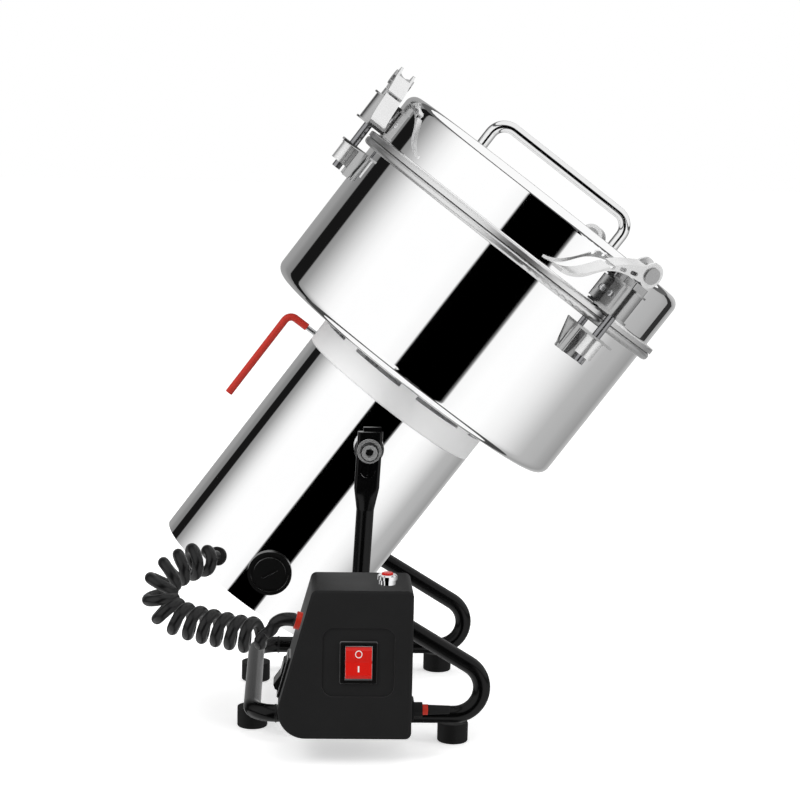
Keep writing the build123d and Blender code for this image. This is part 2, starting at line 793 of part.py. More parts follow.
def bent_sheet(azimuth, low, high, low_half, high_half):
    """Sheet bent to the wall behind a latch bracket, from its half width at either end."""
    with BuildPart() as sheet:
        with BuildSketch(wall_frame(azimuth, 0, bowl_r - wall_curve)):
            with BuildLine():
                corners = ((-low_half, low), (low_half, low), (high_half, high), (-high_half, high))
                Polyline(*corners, close=True)
            make_face()
        extrude(amount=2 * wall_curve)
        ring(0, bowl_r + latch_plate, low - cut, high + cut, Mode.INTERSECT)
        ring(0, bowl_r, low - cut, high + cut, Mode.SUBTRACT)
    return sheet.part


with BuildPart() as latch_lower_brackets:
    for azimuth in latch_azimuths:
        frame = latch_frame(azimuth)
        ears = bent_sheet(azimuth, lower_bracket_low, lower_bracket_top, lower_ear_low, lower_ear_top)
        with BuildPart(mode=Mode.PRIVATE) as shelf:
            with BuildSketch(frame.offset(lower_bracket_top)):
                with Locations((0, (bracket_depth - lower_bracket_front) / 2)):
                    Rectangle(2 * lower_bracket_half, bracket_depth + lower_bracket_front)
            extrude(amount=-latch_plate)
            for side in (-1, 1):
                middle = frame.origin + frame.x_dir * side * (lower_bracket_half - latch_plate / 2)
                with BuildSketch(Plane(middle, x_dir=frame.y_dir, z_dir=frame.x_dir)):
                    with BuildLine():
                        Polyline(
                            (-lower_bracket_front, lower_bracket_top),
                            (bracket_depth, lower_bracket_top),
                            (bracket_depth, lower_bracket_low),
                            (web_cut - lower_bracket_front, lower_bracket_low),
                            (-lower_bracket_front, lower_bracket_low + web_cut),
                            close=True,
                        )
                    make_face()
                extrude(amount=latch_plate / 2, both=True)
                face = Plane(middle, x_dir=frame.y_dir, z_dir=frame.x_dir * side).offset(latch_plate / 2)
                rivet_height = lower_bracket_low + web_rivet_up
                rivet = face.origin + frame.y_dir * web_rivet_in + frame.z_dir * rivet_height
                across(Plane(rivet, z_dir=face.z_dir), rivet_r, 0, rivet_head)
            ring(0, bowl_r, lower_bracket_low - cut, lower_bracket_top + cut, Mode.SUBTRACT)
            across(frame, latch_rod_r + gap, lower_bracket_low, lower_bracket_top + cut, Mode.SUBTRACT)
        add(shelf.part)
        add(ears)
save("latch_lower_brackets", latch_lower_brackets.part)

with BuildPart() as latch_rods:
    for azimuth in latch_azimuths:
        across(latch_frame(azimuth), latch_rod_r, latch_rod_low, pin_height + latch_rod_end)
save("latch_rods", latch_rods.part)

nut_top = lower_bracket_top - latch_plate
with BuildPart() as latch_nuts:
    for azimuth in latch_azimuths:
        frame = latch_frame(azimuth)
        across(frame, nut_r, nut_top - nut_height, nut_top)
        across(frame, nut_flange_r, nut_top - nut_flange, nut_top)
        across(frame, latch_rod_r, nut_top - nut_height, nut_top, Mode.SUBTRACT)
save("latch_nuts", latch_nuts.part)

upper_middle = (upper_bracket_low + upper_bracket_top) / 2
with BuildPart() as latch_upper_brackets:
    for azimuth in latch_azimuths:
        frame = latch_frame(azimuth)
        ear_low, ear_top = upper_middle - ear_height / 2, upper_middle + ear_height / 2
        with BuildPart(mode=Mode.PRIVATE) as holder:
            with BuildSketch(frame.offset(upper_bracket_low)):
                Circle(sleeve_r)
                with Locations((0, bracket_depth / 2)):
                    Rectangle(2 * sleeve_r, bracket_depth)
                Circle(sleeve_r - latch_plate, mode=Mode.SUBTRACT)
                with Locations((0, bracket_depth / 2)):
                    Rectangle(2 * (sleeve_r - latch_plate), bracket_depth, mode=Mode.SUBTRACT)
            extrude(amount=upper_bracket_top - upper_bracket_low)
            for level in (upper_bracket_low, upper_bracket_top - latch_plate):
                with BuildSketch(frame.offset(level)):
                    Circle(sleeve_r + sleeve_flange)
                    with Locations((0, bracket_depth / 2)):
                        Rectangle(2 * (sleeve_r + sleeve_flange), bracket_depth)
                extrude(amount=latch_plate)
            ring(0, bowl_r, upper_bracket_low - cut, upper_bracket_top + cut, Mode.SUBTRACT)
            # Saddle block on the bracket, which the closed lever's cam presses on.
            with BuildSketch(frame.offset(upper_bracket_top)):
                RectangleRounded(2 * saddle_half, lever_width, saddle_corner)
            extrude(amount=pin_height - cam_r - gap - upper_bracket_top)
            across(frame, latch_rod_r + rod_clearance, upper_bracket_low - cut, pin_height, Mode.SUBTRACT)
        add(holder.part)
        add(bent_sheet(azimuth, ear_low, ear_top, ear_half, ear_half))
save("latch_upper_brackets", latch_upper_brackets.part)

# Dome heads of the screws in the upper brackets' ears and side walls.
with BuildPart() as bracket_screws:
    for azimuth in latch_azimuths:
        frame = latch_frame(azimuth).offset(upper_middle)
        half_depth = (latch_rod_at - bowl_r) / 2
        for side in (-1, 1):
            turn = degrees(side * (ear_half - ear_screw_in) / (bowl_r + latch_plate))
            ear = wall_frame(azimuth + turn, upper_middle, bowl_r + latch_plate)
            across(ear, bracket_screw_r, 0, bracket_screw_head)
            wall = frame.origin + frame.x_dir * side * sleeve_r + frame.y_dir * half_depth
            across(Plane(wall, z_dir=frame.x_dir * side), bracket_screw_r, 0, bracket_screw_head)
save("bracket_screws", bracket_screws.part)

with BuildPart() as latch_barrels:
    for azimuth in latch_azimuths:
        frame = wall_frame(azimuth, pin_height, latch_rod_at)
        side = lever_width / 2 + gap
        across(frame, pin_r, -side, side)
        across(frame, pin_r + pin_head, side, side + pin_head_width)
        across(frame, pin_r + pin_head, -side - pin_head_width, -side)
        bore = latch_frame(azimuth).offset(pin_height)
        across(bore, latch_rod_r + gap, -2 * pin_r, 2 * pin_r, Mode.SUBTRACT)
save("latch_barrels", latch_barrels.part)


def lever_outline():
    """Side view of a closed lever from its pin: cam, straight channel and dropped blade."""
    reach, drop = lever_reach, -lever_drop
    with BuildSketch() as outline:
        Circle(cam_r)
        with BuildLine():
            upper = Spline(
                (0, cam_r),
                (0.2 * reach, -0.03 * drop),
                (0.36 * reach, 0.12 * drop),
                (0.5 * reach, 0.31 * drop),
                (0.64 * reach, 0.58 * drop),
                (0.79 * reach, 0.81 * drop),
                (reach, 0.94 * drop),
            )
            lower = Spline(
                (reach, drop),
                (0.86 * reach, 0.95 * drop),
                (0.71 * reach, 0.79 * drop),
                (0.57 * reach, 0.52 * drop),
                (0.43 * reach, 0.36 * drop),
                (0.21 * reach, 0.26 * drop),
                (0.08 * reach, -0.9 * cam_r),
            )
            Line(upper @ 1, lower @ 0)
            Line(lower @ 1, (0, 0))
            Line((0, 0), upper @ 0)
        make_face()
    return outline.sketch


def latch_lever(azimuth, hand):
    """Cam lever, a channel with three slots up to its blade, closed along the lid's side."""
    tail = outward(azimuth + 90) * hand
    origin = pivot + body_frame.z_dir * pin_height + outward(azimuth) * latch_rod_at
    frame = Plane(origin, x_dir=tail, z_dir=tail.cross(body_frame.z_dir))
    inside = lever_width / 2 - cheek
    with BuildPart(frame) as lever:
        with BuildSketch(frame):
            add(lever_outline())
        extrude(amount=lever_width / 2, both=True)
        with BuildSketch(frame):
            add(lever_outline().moved(Location((0, -cheek, 0))))
            with Locations((lever_channel + lever_reach / 2, -lever_drop / 2)):
                Rectangle(lever_reach, 2 * lever_drop, mode=Mode.SUBTRACT)
        extrude(amount=inside, both=True, mode=Mode.SUBTRACT)
        Cylinder(cam_r + gap, 2 * inside, mode=Mode.SUBTRACT)
        Cylinder(pin_r + shaft_fit, 2 * lever_width, mode=Mode.SUBTRACT)
        slots = ((0.21, 0.17, 10, 1.0), (0.36, 0.24, 14, 0.84), (0.49, 0.33, 28, 0.62))
        for share, down, turn, size in slots:
            with BuildSketch(frame):
                with Locations(Location((share * lever_reach, -down * lever_drop), -turn)):
                    SlotOverall(size * lever_slot, lever_slot_width)
            extrude(amount=lever_width, both=True, mode=Mode.SUBTRACT)
    return lever.part


for number, (azimuth, hand) in enumerate(zip(latch_azimuths, latch_hands), start=1):
    save(f"latch_lever_{number}", latch_lever(azimuth, hand))

# ---------------------------------------------------------------- stand
lean_back = tan(radians(upright_lean))
fall = tan(radians(slope))
neck = pivot_height - flat_below - flat_neck
flat_top = pivot_height + flat_above
flat_low = pivot_height - flat_below
# The sloping run's line reaches the floor run's height at the apex and the upright's line at the knee.
apex = loop_reach - loop_bend + loop_bend / tan(radians(slope / 2))
knee = (tube_height + (apex + lean_back * pivot_height) * fall) / (1 + lean_back * fall)
box_bolts = (
    (-lean_back * (pivot_height - box_bolt_height), box_bolt_height),
    (box_bolt_across, tube_height + (apex - box_bolt_across) * fall),
)


def stand_side(side):
    """One bent tube: flattened pivot end, upright, sloping run, U-bend and floor run."""
    centre = Vector(pivot_x, pivot_y + side * stand_half, 0)

    def at(x, z):
        return centre + Vector(x, 0, z)

    def upright(z):
        return at(-(pivot_height - z) * lean_back, z)

    with BuildPart() as tube:
        with BuildLine() as route:
            FilletPolyline(
                upright(neck),
                upright(knee),
                at(apex, tube_height),
                at(cross_bend - cross_at, tube_height),
                radius=[knee_bend, loop_bend],
            )
        with BuildSketch(Plane(route.line @ 0, z_dir=route.line % 0)):
            Circle(tube_r)
            Circle(tube_r - tube_wall, mode=Mode.SUBTRACT)
        sweep()
        # The top of the tube is squeezed flat round the pivot hole, with a pinched lip at the end.
        flat_start = Plane(upright(flat_low))
        with BuildSketch(Plane(route.line @ 0, z_dir=(route.line % 0) * -1)):
            Circle(tube_r)
        with BuildSketch(flat_start):
            RectangleRounded(flat_width, flat, flat_corner)
        loft()
        with BuildSketch(flat_start):
            RectangleRounded(flat_width, flat, flat_corner)
        extrude(amount=(flat_top - flat_low) / cos(radians(upright_lean)), dir=(lean_back, 0, 1))
        with BuildSketch(Plane(upright(flat_top))):
            with Locations((lip_off, 0)):
                Rectangle(lip_width, flat / 2)
        extrude(amount=lip_height)
        # Press mark under the bolt: a round dimple split by a ridge.
        mark = Plane(upright(pivot_height - mark_below), x_dir=(1, 0, 0), z_dir=(0, side, 0))
        with BuildSketch(mark.offset(flat / 2 - mark_depth)):
            Circle(mark_r)
            Rectangle(mark_ridge, 2 * mark_r, mode=Mode.SUBTRACT)
        extrude(amount=mark_depth + cut, mode=Mode.SUBTRACT)
        # Holes for the pivot, the foot and, on the front side, the box.
        across(Plane(upright(pivot_height), x_dir=(1, 0, 0), z_dir=(0, side, 0)),
               pivot_bolt_r, -flat, flat, Mode.SUBTRACT)
        across(Plane(at(right_foot_at, 0)), foot_screw_r, 0, tube_height, Mode.SUBTRACT)
        if side < 0:
            for x, z in box_bolts:
                across(Plane(at(x, z), x_dir=(1, 0, 0), z_dir=(0, -1, 0)),
                       box_bolt_r, -2 * tube_r, 2 * tube_r, Mode.SUBTRACT)
    return tube.part


save("front_side_tube", stand_side(-1))
save("rear_side_tube", stand_side(1))

with BuildPart() as cross_tube:
    with BuildLine(Plane.XY.offset(tube_height)) as cross_route:
        near_bend = JernArc(
            (pivot_x - cross_at + cross_bend, pivot_y - stand_half),
            tangent=(-1, 0),
            radius=cross_bend,
            arc_size=-90,
        )
        run = Line(near_bend @ 1, near_bend @ 1 + Vector(0, 2 * (stand_half - cross_bend)))
        JernArc(run @ 1, tangent=(0, 1), radius=cross_bend, arc_size=-90)
    with BuildSketch(Plane(cross_route.line @ 0, z_dir=cross_route.line % 0)):
        Circle(tube_r)
        Circle(tube_r - tube_wall, mode=Mode.SUBTRACT)
    sweep()
    for side in (-1, 1):
        foot_hole = Plane((pivot_x - cross_at, pivot_y + side * left_foot_half, 0))
        across(foot_hole, foot_screw_r, 0, tube_height, Mode.SUBTRACT)
save("cross_tube", cross_tube.part)

foot_places = []
for side in (-1, 1):
    foot_places.append(Plane((pivot_x + right_foot_at, pivot_y + side * stand_half, 0), x_dir=(1, 0, 0)))
    foot_places.append(Plane((pivot_x - cross_at, pivot_y + side * left_foot_half, 0), x_dir=(0, 1, 0)))

with BuildPart() as rubber_feet:
    for place in foot_places:
        with BuildPart(place, mode=Mode.PRIVATE) as foot:
            Cylinder(foot_r, foot_height, align=(Align.CENTER, Align.CENTER, Align.MIN))
            fillet(foot.edges().group_by(Axis.Z)[0], foot_round)
            with Locations((0, 0, tube_height)):
                Cylinder(tube_r, 4 * foot_r, rotation=(0, 90, 0), mode=Mode.SUBTRACT)
            across(place, foot_screw_r * 2 + gap, 0, foot_recess, Mode.SUBTRACT)
            across(place, foot_screw_r, 0, tube_height, Mode.SUBTRACT)
        add(foot.part)
save("rubber_feet", rubber_feet.part)

# ---------------------------------------------------------------- control box
slant = radians(box_slant)
foot_left = box_left + (box_top - box_low) * tan(slant)
left_normal = Vector(-cos(slant), 0, sin(slant))


def box_outline(inset):
    """Front outline of the box from the tilt axis, set in by a wall's thickness."""
    with BuildSketch() as outline:
        with BuildLine():
            Polyline(
                (-box_left, box_top),
                (box_right, box_top),
                (box_right, box_low),
                (-foot_left, box_low),
                close=True,
            )
        make_face()
        fillet(vertices().sort_by_distance((-foot_left, box_low))[0], box_round)
        for corner in ((-box_left, box_top), (box_right, box_top), (box_right, box_low)):
            fillet(vertices().sort_by_distance(corner)[0], box_corner)
        offset(amount=-inset)
    return outline.sketch


def on_left(height, from_back):
    """Seat on the slanted left wall; its x runs to the front and its y up the wall."""
    x = pivot_x - box_left - (box_top - height) * tan(slant)
    return Plane((x, pivot_y - box_back - from_back, height), x_dir=(0, -1, 0), z_dir=left_normal)


front_seat = Plane(
    (pivot_x + switch_at, pivot_y - box_front + panel_sink, switch_height),
    x_dir=(1, 0, 0),
    z_dir=(0, -1, 0),
)
side_seat = on_left(side_switch_height, box_depth / 2)
cord_seat = on_left(cord_hole_height, cord_hole_back)
gland_seat = Plane(
    (pivot_x + box_right, pivot_y - box_back - cord_hole_back, gland_height),
    x_dir=(0, 1, 0),
    z_dir=(1, 0, 0),
)
breaker_seat = Plane((pivot_x + breaker_at, pivot_y - box_back - breaker_back, box_top))
body_width = bezel_width - 2 * bezel_ledge
body_height = bezel_height - 2 * bezel_ledge
boss_screws = (
    (-box_left + boss_side, box_top - boss_top),
    (box_right - boss_side, box_top - boss_top),
    (box_right - boss_side, box_low + boss_low),
    (-box_left, box_low + boss_low),
)

with BuildPart() as control_box:
    with BuildSketch(front_view(box_back)):
        add(box_outline(0))
    extrude(amount=box_depth)
    fillet(control_box.faces().sort_by(Axis.Y)[0].outer_wire().edges(), box_edge)
    with BuildSketch(front_view(box_back)):
        add(box_outline(box_wall))
    extrude(amount=box_depth - box_wall, mode=Mode.SUBTRACT)
    with BuildSketch(front_view(box_back + back_cover)):
        with Locations(*boss_screws):
            Circle(boss_r)
            Circle(box_screw_r, mode=Mode.SUBTRACT)
    extrude(amount=box_depth - back_cover - box_wall)
    with BuildSketch(front_view(box_front)):
        with Locations((switch_at, switch_height)):
            RectangleRounded(panel_width, panel_height, panel_corner)
    extrude(amount=-panel_sink, mode=Mode.SUBTRACT)
    chamfer(control_box.faces().sort_by(Axis.Y)[0].inner_wires()[0].edges(), panel_bevel)
    for seat in (front_seat, side_seat):
        with BuildSketch(seat):
            Rectangle(body_width, body_height)
        extrude(amount=2 * box_wall, both=True, mode=Mode.SUBTRACT)
    across(cord_seat, entry_r, -2 * box_wall, box_wall, Mode.SUBTRACT)
    across(gland_seat, entry_r, -2 * box_wall, box_wall, Mode.SUBTRACT)
    across(breaker_seat, stem_r, -2 * box_wall, box_wall, Mode.SUBTRACT)
save("control_box", control_box.part)

with BuildPart() as box_cover:
    with BuildSketch(front_view(box_back)):
        add(box_outline(box_wall))
        with Locations(*boss_screws):
            Circle(box_screw_r, mode=Mode.SUBTRACT)
        with Locations(*box_bolts):
            Circle(box_bolt_r, mode=Mode.SUBTRACT)
    extrude(amount=back_cover)
save("box_cover", box_cover.part)

with BuildPart() as stand_screws:
    for place in foot_places:
        across(place, foot_screw_r * 2, foot_recess - foot_screw_head, foot_recess)
        across(place, foot_screw_r, foot_recess, tube_height)
    with BuildSketch(front_view(box_back)):
        with Locations(*boss_screws):
            Circle(box_screw_r)
    extrude(amount=box_screw_length)
    # Bolts that hold the box on the front side tube, heads inside the stand and nuts in the box.
    for x, z in box_bolts:
        bolt = Plane((pivot_x + x, pivot_y - stand_half, z), x_dir=(1, 0, 0), z_dir=(0, -1, 0))
        shank = box_back + back_cover - stand_half
        across(bolt, box_bolt_r, -tube_r, shank + box_bolt_end)
        across(bolt, 2 * box_bolt_r, -tube_r - box_bolt_head, -tube_r)
        across(bolt, 1.8 * box_bolt_r, shank, shank + box_nut)
save("stand_screws", stand_screws.part)

pin_half = opening_width / 2 + rocker_pin_end


def switch_body(seat):
    """Panel switch without its rocker: bezel, body behind the wall and a pocket with pivot holes."""
    pivot_line = Plane(seat.origin + seat.z_dir * (bezel - rocker_depth), z_dir=seat.x_dir)
    hole_half = pin_half + pin_end_gap
    with BuildPart(seat) as body:
        with BuildSketch(seat):
            RectangleRounded(bezel_width, bezel_height, bezel_corner)
        extrude(amount=bezel)
        chamfer(body.faces().sort_by(Axis(seat.origin, seat.z_dir))[-1].edges(), bezel_bevel)
        with BuildSketch(seat):
            Rectangle(body_width, body_height)
        extrude(amount=-switch_depth)
        with BuildSketch(seat.offset(bezel)):
            Rectangle(opening_width, opening_height)
        extrude(amount=-pocket, mode=Mode.SUBTRACT)
        across(pivot_line, rocker_pin_r + shaft_fit, -hole_half, hole_half, Mode.SUBTRACT)
    return body.part


def rocker(seat):
    """Rocker with a shallow V front and bevelled ends, its upper end pressed in."""
    centre = seat.origin + seat.z_dir * (bezel - rocker_depth)
    side_view = turned(Plane(centre, x_dir=seat.z_dir, z_dir=seat.x_dir * -1), rocker_throw)
    with BuildPart() as key:
        with BuildSketch(side_view):
            with BuildLine():
                Polyline(
                    (-rocker_root, -rocker_half),
                    (rocker_edge, -rocker_half),
                    (rocker_crest, -rocker_half + rocker_bevel),
                    (rocker_valley, 0),
                    (rocker_crest, rocker_half - rocker_bevel),
                    (rocker_edge, rocker_half),
                    (-rocker_root, rocker_half),
                    close=True,
                )
            make_face()
        extrude(amount=rocker_width / 2, both=True)
        across(Plane(centre, z_dir=seat.x_dir), rocker_pin_r, -pin_half, pin_half)
    return key.part


save("power_switch", switch_body(front_seat))
save("power_rocker", rocker(front_seat))
save("side_switch", switch_body(side_seat))
save("side_rocker", rocker(side_seat))

with BuildPart() as switch_terminals:
    for seat in (front_seat, side_seat):
        with BuildSketch(seat.offset(-switch_depth)):
            with GridLocations(terminal_across, terminal_pitch, 2, 3):
                Rectangle(terminal_width, terminal_thick)
        extrude(amount=-terminal_length)
save("switch_terminals", switch_terminals.part)

# Push-to-reset overload breaker under the box's top.
breaker_size = (breaker_width, breaker_depth, breaker_height)
with BuildPart(breaker_seat.offset(-box_wall)) as overload_breaker:
    Box(*breaker_size, align=(Align.CENTER, Align.CENTER, Align.MAX))
    Cylinder(stem_r, 2 * breaker_pocket, mode=Mode.SUBTRACT)
save("overload_breaker", overload_breaker.part)

with BuildPart() as breaker_bush:
    across(breaker_seat, stem_r, -box_wall - breaker_pocket, 0)
    across(breaker_seat, bush_r, 0, bush_flange_low)
    across(breaker_seat, bush_flange_r, bush_flange_low, bush_height)
    chamfer(breaker_bush.edges().group_by(Axis.Z)[-1], bush_bevel)
    across(breaker_seat, button_r + gap, -box_wall, bush_height, Mode.SUBTRACT)
save("breaker_bush", breaker_bush.part)

with BuildPart() as reset_button:
    across(breaker_seat, button_r, gap, bush_height + button_rise)
    fillet(reset_button.edges().group_by(Axis.Z)[-1], button_round)
save("reset_button", reset_button.part)

# ---------------------------------------------------------------- cord entries
grommet_face = housing_r + grommet_lip
with BuildPart() as cord_grommet:
    across(grommet_frame, grommet_neck_r, housing_in - grommet_behind, housing_r)
    across(grommet_frame, grommet_r, housing_r, grommet_face)
    across(grommet_frame, cord_r, grommet_face - cord_seat_depth, grommet_face, Mode.SUBTRACT)
save("cord_grommet", cord_grommet.part)

with BuildPart() as cord_rings:
    across(cord_seat, entry_r, -box_wall - entry_depth, 0)
    across(cord_seat, cord_ring_r, 0, cord_seat_depth)
    across(cord_seat, cord_r, 0, cord_seat_depth, Mode.SUBTRACT)
    across(gland_seat, gland_ring_r, gland_collar_end, gland_ring_end)
save("cord_rings", cord_rings.part)

# Mains gland: wall plate, clamp collar and, past the ring, a soft sleeve for the supply cord.
sleeve_end = gland_ring_end + gland_sleeve
with BuildPart() as mains_gland:
    with BuildSketch(gland_seat):
        RectangleRounded(gland_size, gland_size, gland_corner)
    extrude(amount=gland_plate)
    across(gland_seat, entry_r, -box_wall - entry_depth, 0)
    across(gland_seat, gland_collar_r, gland_plate, gland_collar_end)
    with BuildSketch(gland_seat.offset(gland_ring_end)):
        Circle(gland_sleeve_r)
    with BuildSketch(gland_seat.offset(sleeve_end)):
        Circle(gland_sleeve_tip_r)
    loft()
    across(gland_seat, gland_bore_r, sleeve_end - gland_bore, sleeve_end, Mode.SUBTRACT)
save("mains_gland", mains_gland.part)

# ---------------------------------------------------------------- curly cord
cord_foot = grommet_frame.origin + grommet_frame.z_dir * (grommet_face - cord_seat_depth)
cord_head = cord_seat.origin


def free_point(x, y, z):
    """Point of the cord's route, from the tilt axis across and the floor up."""
    return Vector(pivot_x + x, pivot_y + y, z)


cord_route = [
    cord_foot,
    cord_foot + grommet_frame.z_dir * 16,
    free_point(-154, -97, 123.5),
    free_point(-150, -104, 97),
    free_point(-112, -116, 90),
    free_point(-72, -128.5, 86),
    cord_head + cord_seat.z_dir * 17,
    cord_head,
]



def bend_radii(points):
    """Largest comfortable bend at each corner of a route."""
    radii = []
    for before, corner, after in zip(points, points[1:], points[2:]):
        turn = (corner - before).get_angle(after - corner)
        shorter = min((corner - before).length, (after - corner).length)
        radii.append(0.45 * shorter / tan(radians(turn / 2)))
    return radii


def cord_tube(points, radius):
    """Plain tube along straight runs joined by tangent arcs."""
    radii = bend_radii(points)
    with BuildPart() as tube:
        with BuildLine() as path:
            FilletPolyline(*points, radius=radii)
        with BuildSketch(Plane(path.line @ 0, z_dir=path.line % 0)):
            Circle(radius)
        sweep()
    expected = pi * radius**2 * sum(edge.length for edge in path.edges())
    print("bend radii", [round(value, 1) for value in radii])
    print("volume over section times length", round(tube.part.volume / expected, 4))
    return tube.part


coil_start = cord_route[1] + (cord_route[2] - cord_route[1]) * coil_starts
coil_end = cord_route[4] + (cord_route[5] - cord_route[4]) * coil_ends
save("cord_start", cord_tube([*cord_route[:2], coil_start], cord_r))
save("cord_coil", cord_tube([coil_start, *cord_route[2:5], coil_end], coil_r))
save("cord_end", cord_tube([coil_end, *cord_route[5:]], cord_r))
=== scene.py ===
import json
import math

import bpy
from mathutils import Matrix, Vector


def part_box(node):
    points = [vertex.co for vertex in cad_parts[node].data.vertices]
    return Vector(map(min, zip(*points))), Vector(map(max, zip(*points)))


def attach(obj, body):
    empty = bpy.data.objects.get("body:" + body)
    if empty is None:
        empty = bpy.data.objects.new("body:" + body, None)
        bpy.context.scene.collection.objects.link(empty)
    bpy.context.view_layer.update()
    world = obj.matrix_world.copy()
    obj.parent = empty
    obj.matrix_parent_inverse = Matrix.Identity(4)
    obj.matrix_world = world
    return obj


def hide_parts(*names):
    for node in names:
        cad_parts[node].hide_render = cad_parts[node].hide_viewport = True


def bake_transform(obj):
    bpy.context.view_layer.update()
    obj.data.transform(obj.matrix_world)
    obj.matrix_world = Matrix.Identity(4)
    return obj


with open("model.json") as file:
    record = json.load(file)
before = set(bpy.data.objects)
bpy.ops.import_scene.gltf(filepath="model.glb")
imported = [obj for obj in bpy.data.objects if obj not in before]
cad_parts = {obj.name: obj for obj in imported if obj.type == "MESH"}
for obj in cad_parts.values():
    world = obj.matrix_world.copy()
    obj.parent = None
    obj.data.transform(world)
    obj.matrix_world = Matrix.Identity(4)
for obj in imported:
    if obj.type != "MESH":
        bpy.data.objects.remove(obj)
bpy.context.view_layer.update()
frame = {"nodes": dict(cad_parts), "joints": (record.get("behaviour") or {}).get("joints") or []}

# %% [markdown]
# # An electric grain mill
# The real mill is a polished steel bowl on a motor housing, hung between the uprights of a black
# tube stand, with a switch box on the front and a curly cord to the motor. Its metal and plastic
# parts arrive as a finished frame of CAD nodes, so this lesson gives them their finishes, models
# the curly cord, the weld beads, the cross-head screws and the marks on the rocker, trims the lower
# latch brackets, and lights the whole in a white studio. Everything is in metres, +Z up, with the
# front towards -Y.

joints = {joint["name"]: joint for joint in frame["joints"]}
nodes = frame["nodes"]
pivot = Vector(joints["mill_tilt"]["pos_m"])
body_up = Vector(joints["lid_lift"]["axis"]).normalized()
body_side = Vector((0, 1, 0)).cross(body_up).normalized()
front_way = Vector((0, -1, 0))
lean = math.atan2(body_up.x, body_up.z)
print("pivot", tuple(round(value, 4) for value in pivot), "lean", round(math.degrees(lean), 1))


def on_body(azimuth, radius, height):
    """Point round the mill body: azimuth 0 at the front and 90 at the lower right, in degrees."""
    turn = math.radians(azimuth)
    outward = body_side * math.sin(turn) + front_way * math.cos(turn)
    return pivot + body_up * height + outward * radius


# %% [markdown]
# ## The camera
# A product camera with a long lens stands a little to the left and above the mill, so that the
# lid's edge, the latches and the box's top all show. A long lens keeps the uprights parallel. The
# distance is kept real, because it sets how much the near side of the stand grows.

# %% Stand the camera
camera_from_pivot = Vector((-0.0527, -1.6700, 0.2865))
camera_yaw = math.radians(2.71)
camera_drop = math.radians(8.97)
camera_roll = math.radians(1.22)
long_lens = 98.2

bpy.ops.object.camera_add()
camera = bpy.context.object
turn_right = Matrix.Rotation(-camera_yaw, 4, "Z")
tip_down = Matrix.Rotation(math.pi / 2 - camera_drop, 4, "X")
roll_over = Matrix.Rotation(camera_roll, 4, "Z")
camera.matrix_world = Matrix.Translation(pivot + camera_from_pivot) @ turn_right @ tip_down @ roll_over
camera.data.lens = long_lens
camera.data.sensor_width = 36.0
camera.data.clip_start = 0.05
bpy.context.scene.camera = camera
print("camera at", tuple(round(value, 3) for value in camera.location))

# %% [markdown]
# ## A small language for materials
# Shader nodes read like sums when a socket can be added and multiplied in Python. One class wraps
# a socket and adds a Math node for each operator, and one class holds a material and adds any
# other node by its type, its settings and its inputs.


# %% Sockets that take part in arithmetic
class Value:
    """A shader output that Python's operators work on."""

    def __init__(self, shade, socket):
        self.shade = shade
        self.socket = socket

    def maths(self, operation, *inputs):
        return self.shade.node("ShaderNodeMath", {"operation": operation}, dict(enumerate(inputs)))

    def __add__(self, other):
        return self.maths("ADD", self, other)

    def __radd__(self, other):
        return self.maths("ADD", other, self)

    def __sub__(self, other):
        return self.maths("SUBTRACT", self, other)

    def __rsub__(self, other):
        return self.maths("SUBTRACT", other, self)

    def __mul__(self, other):
        return self.maths("MULTIPLY", self, other)

    def __rmul__(self, other):
        return self.maths("MULTIPLY", other, self)

    def __truediv__(self, other):
        return self.maths("DIVIDE", self, other)

    def __pow__(self, other):
        return self.maths("POWER", self, other)

    def above(self, other):
        return self.maths("GREATER_THAN", self, other)

    def wave(self):
        return self.maths("SINE", self)

    def swing(self, amount):
        """A noise from 0 to 1, turned into a change of so much in all, half of it each way."""
        return (self - 0.5) * amount

    def held(self):
        """The value kept between 0 and 1."""
        return self.shade.node("ShaderNodeClamp", {}, {"Value": self})


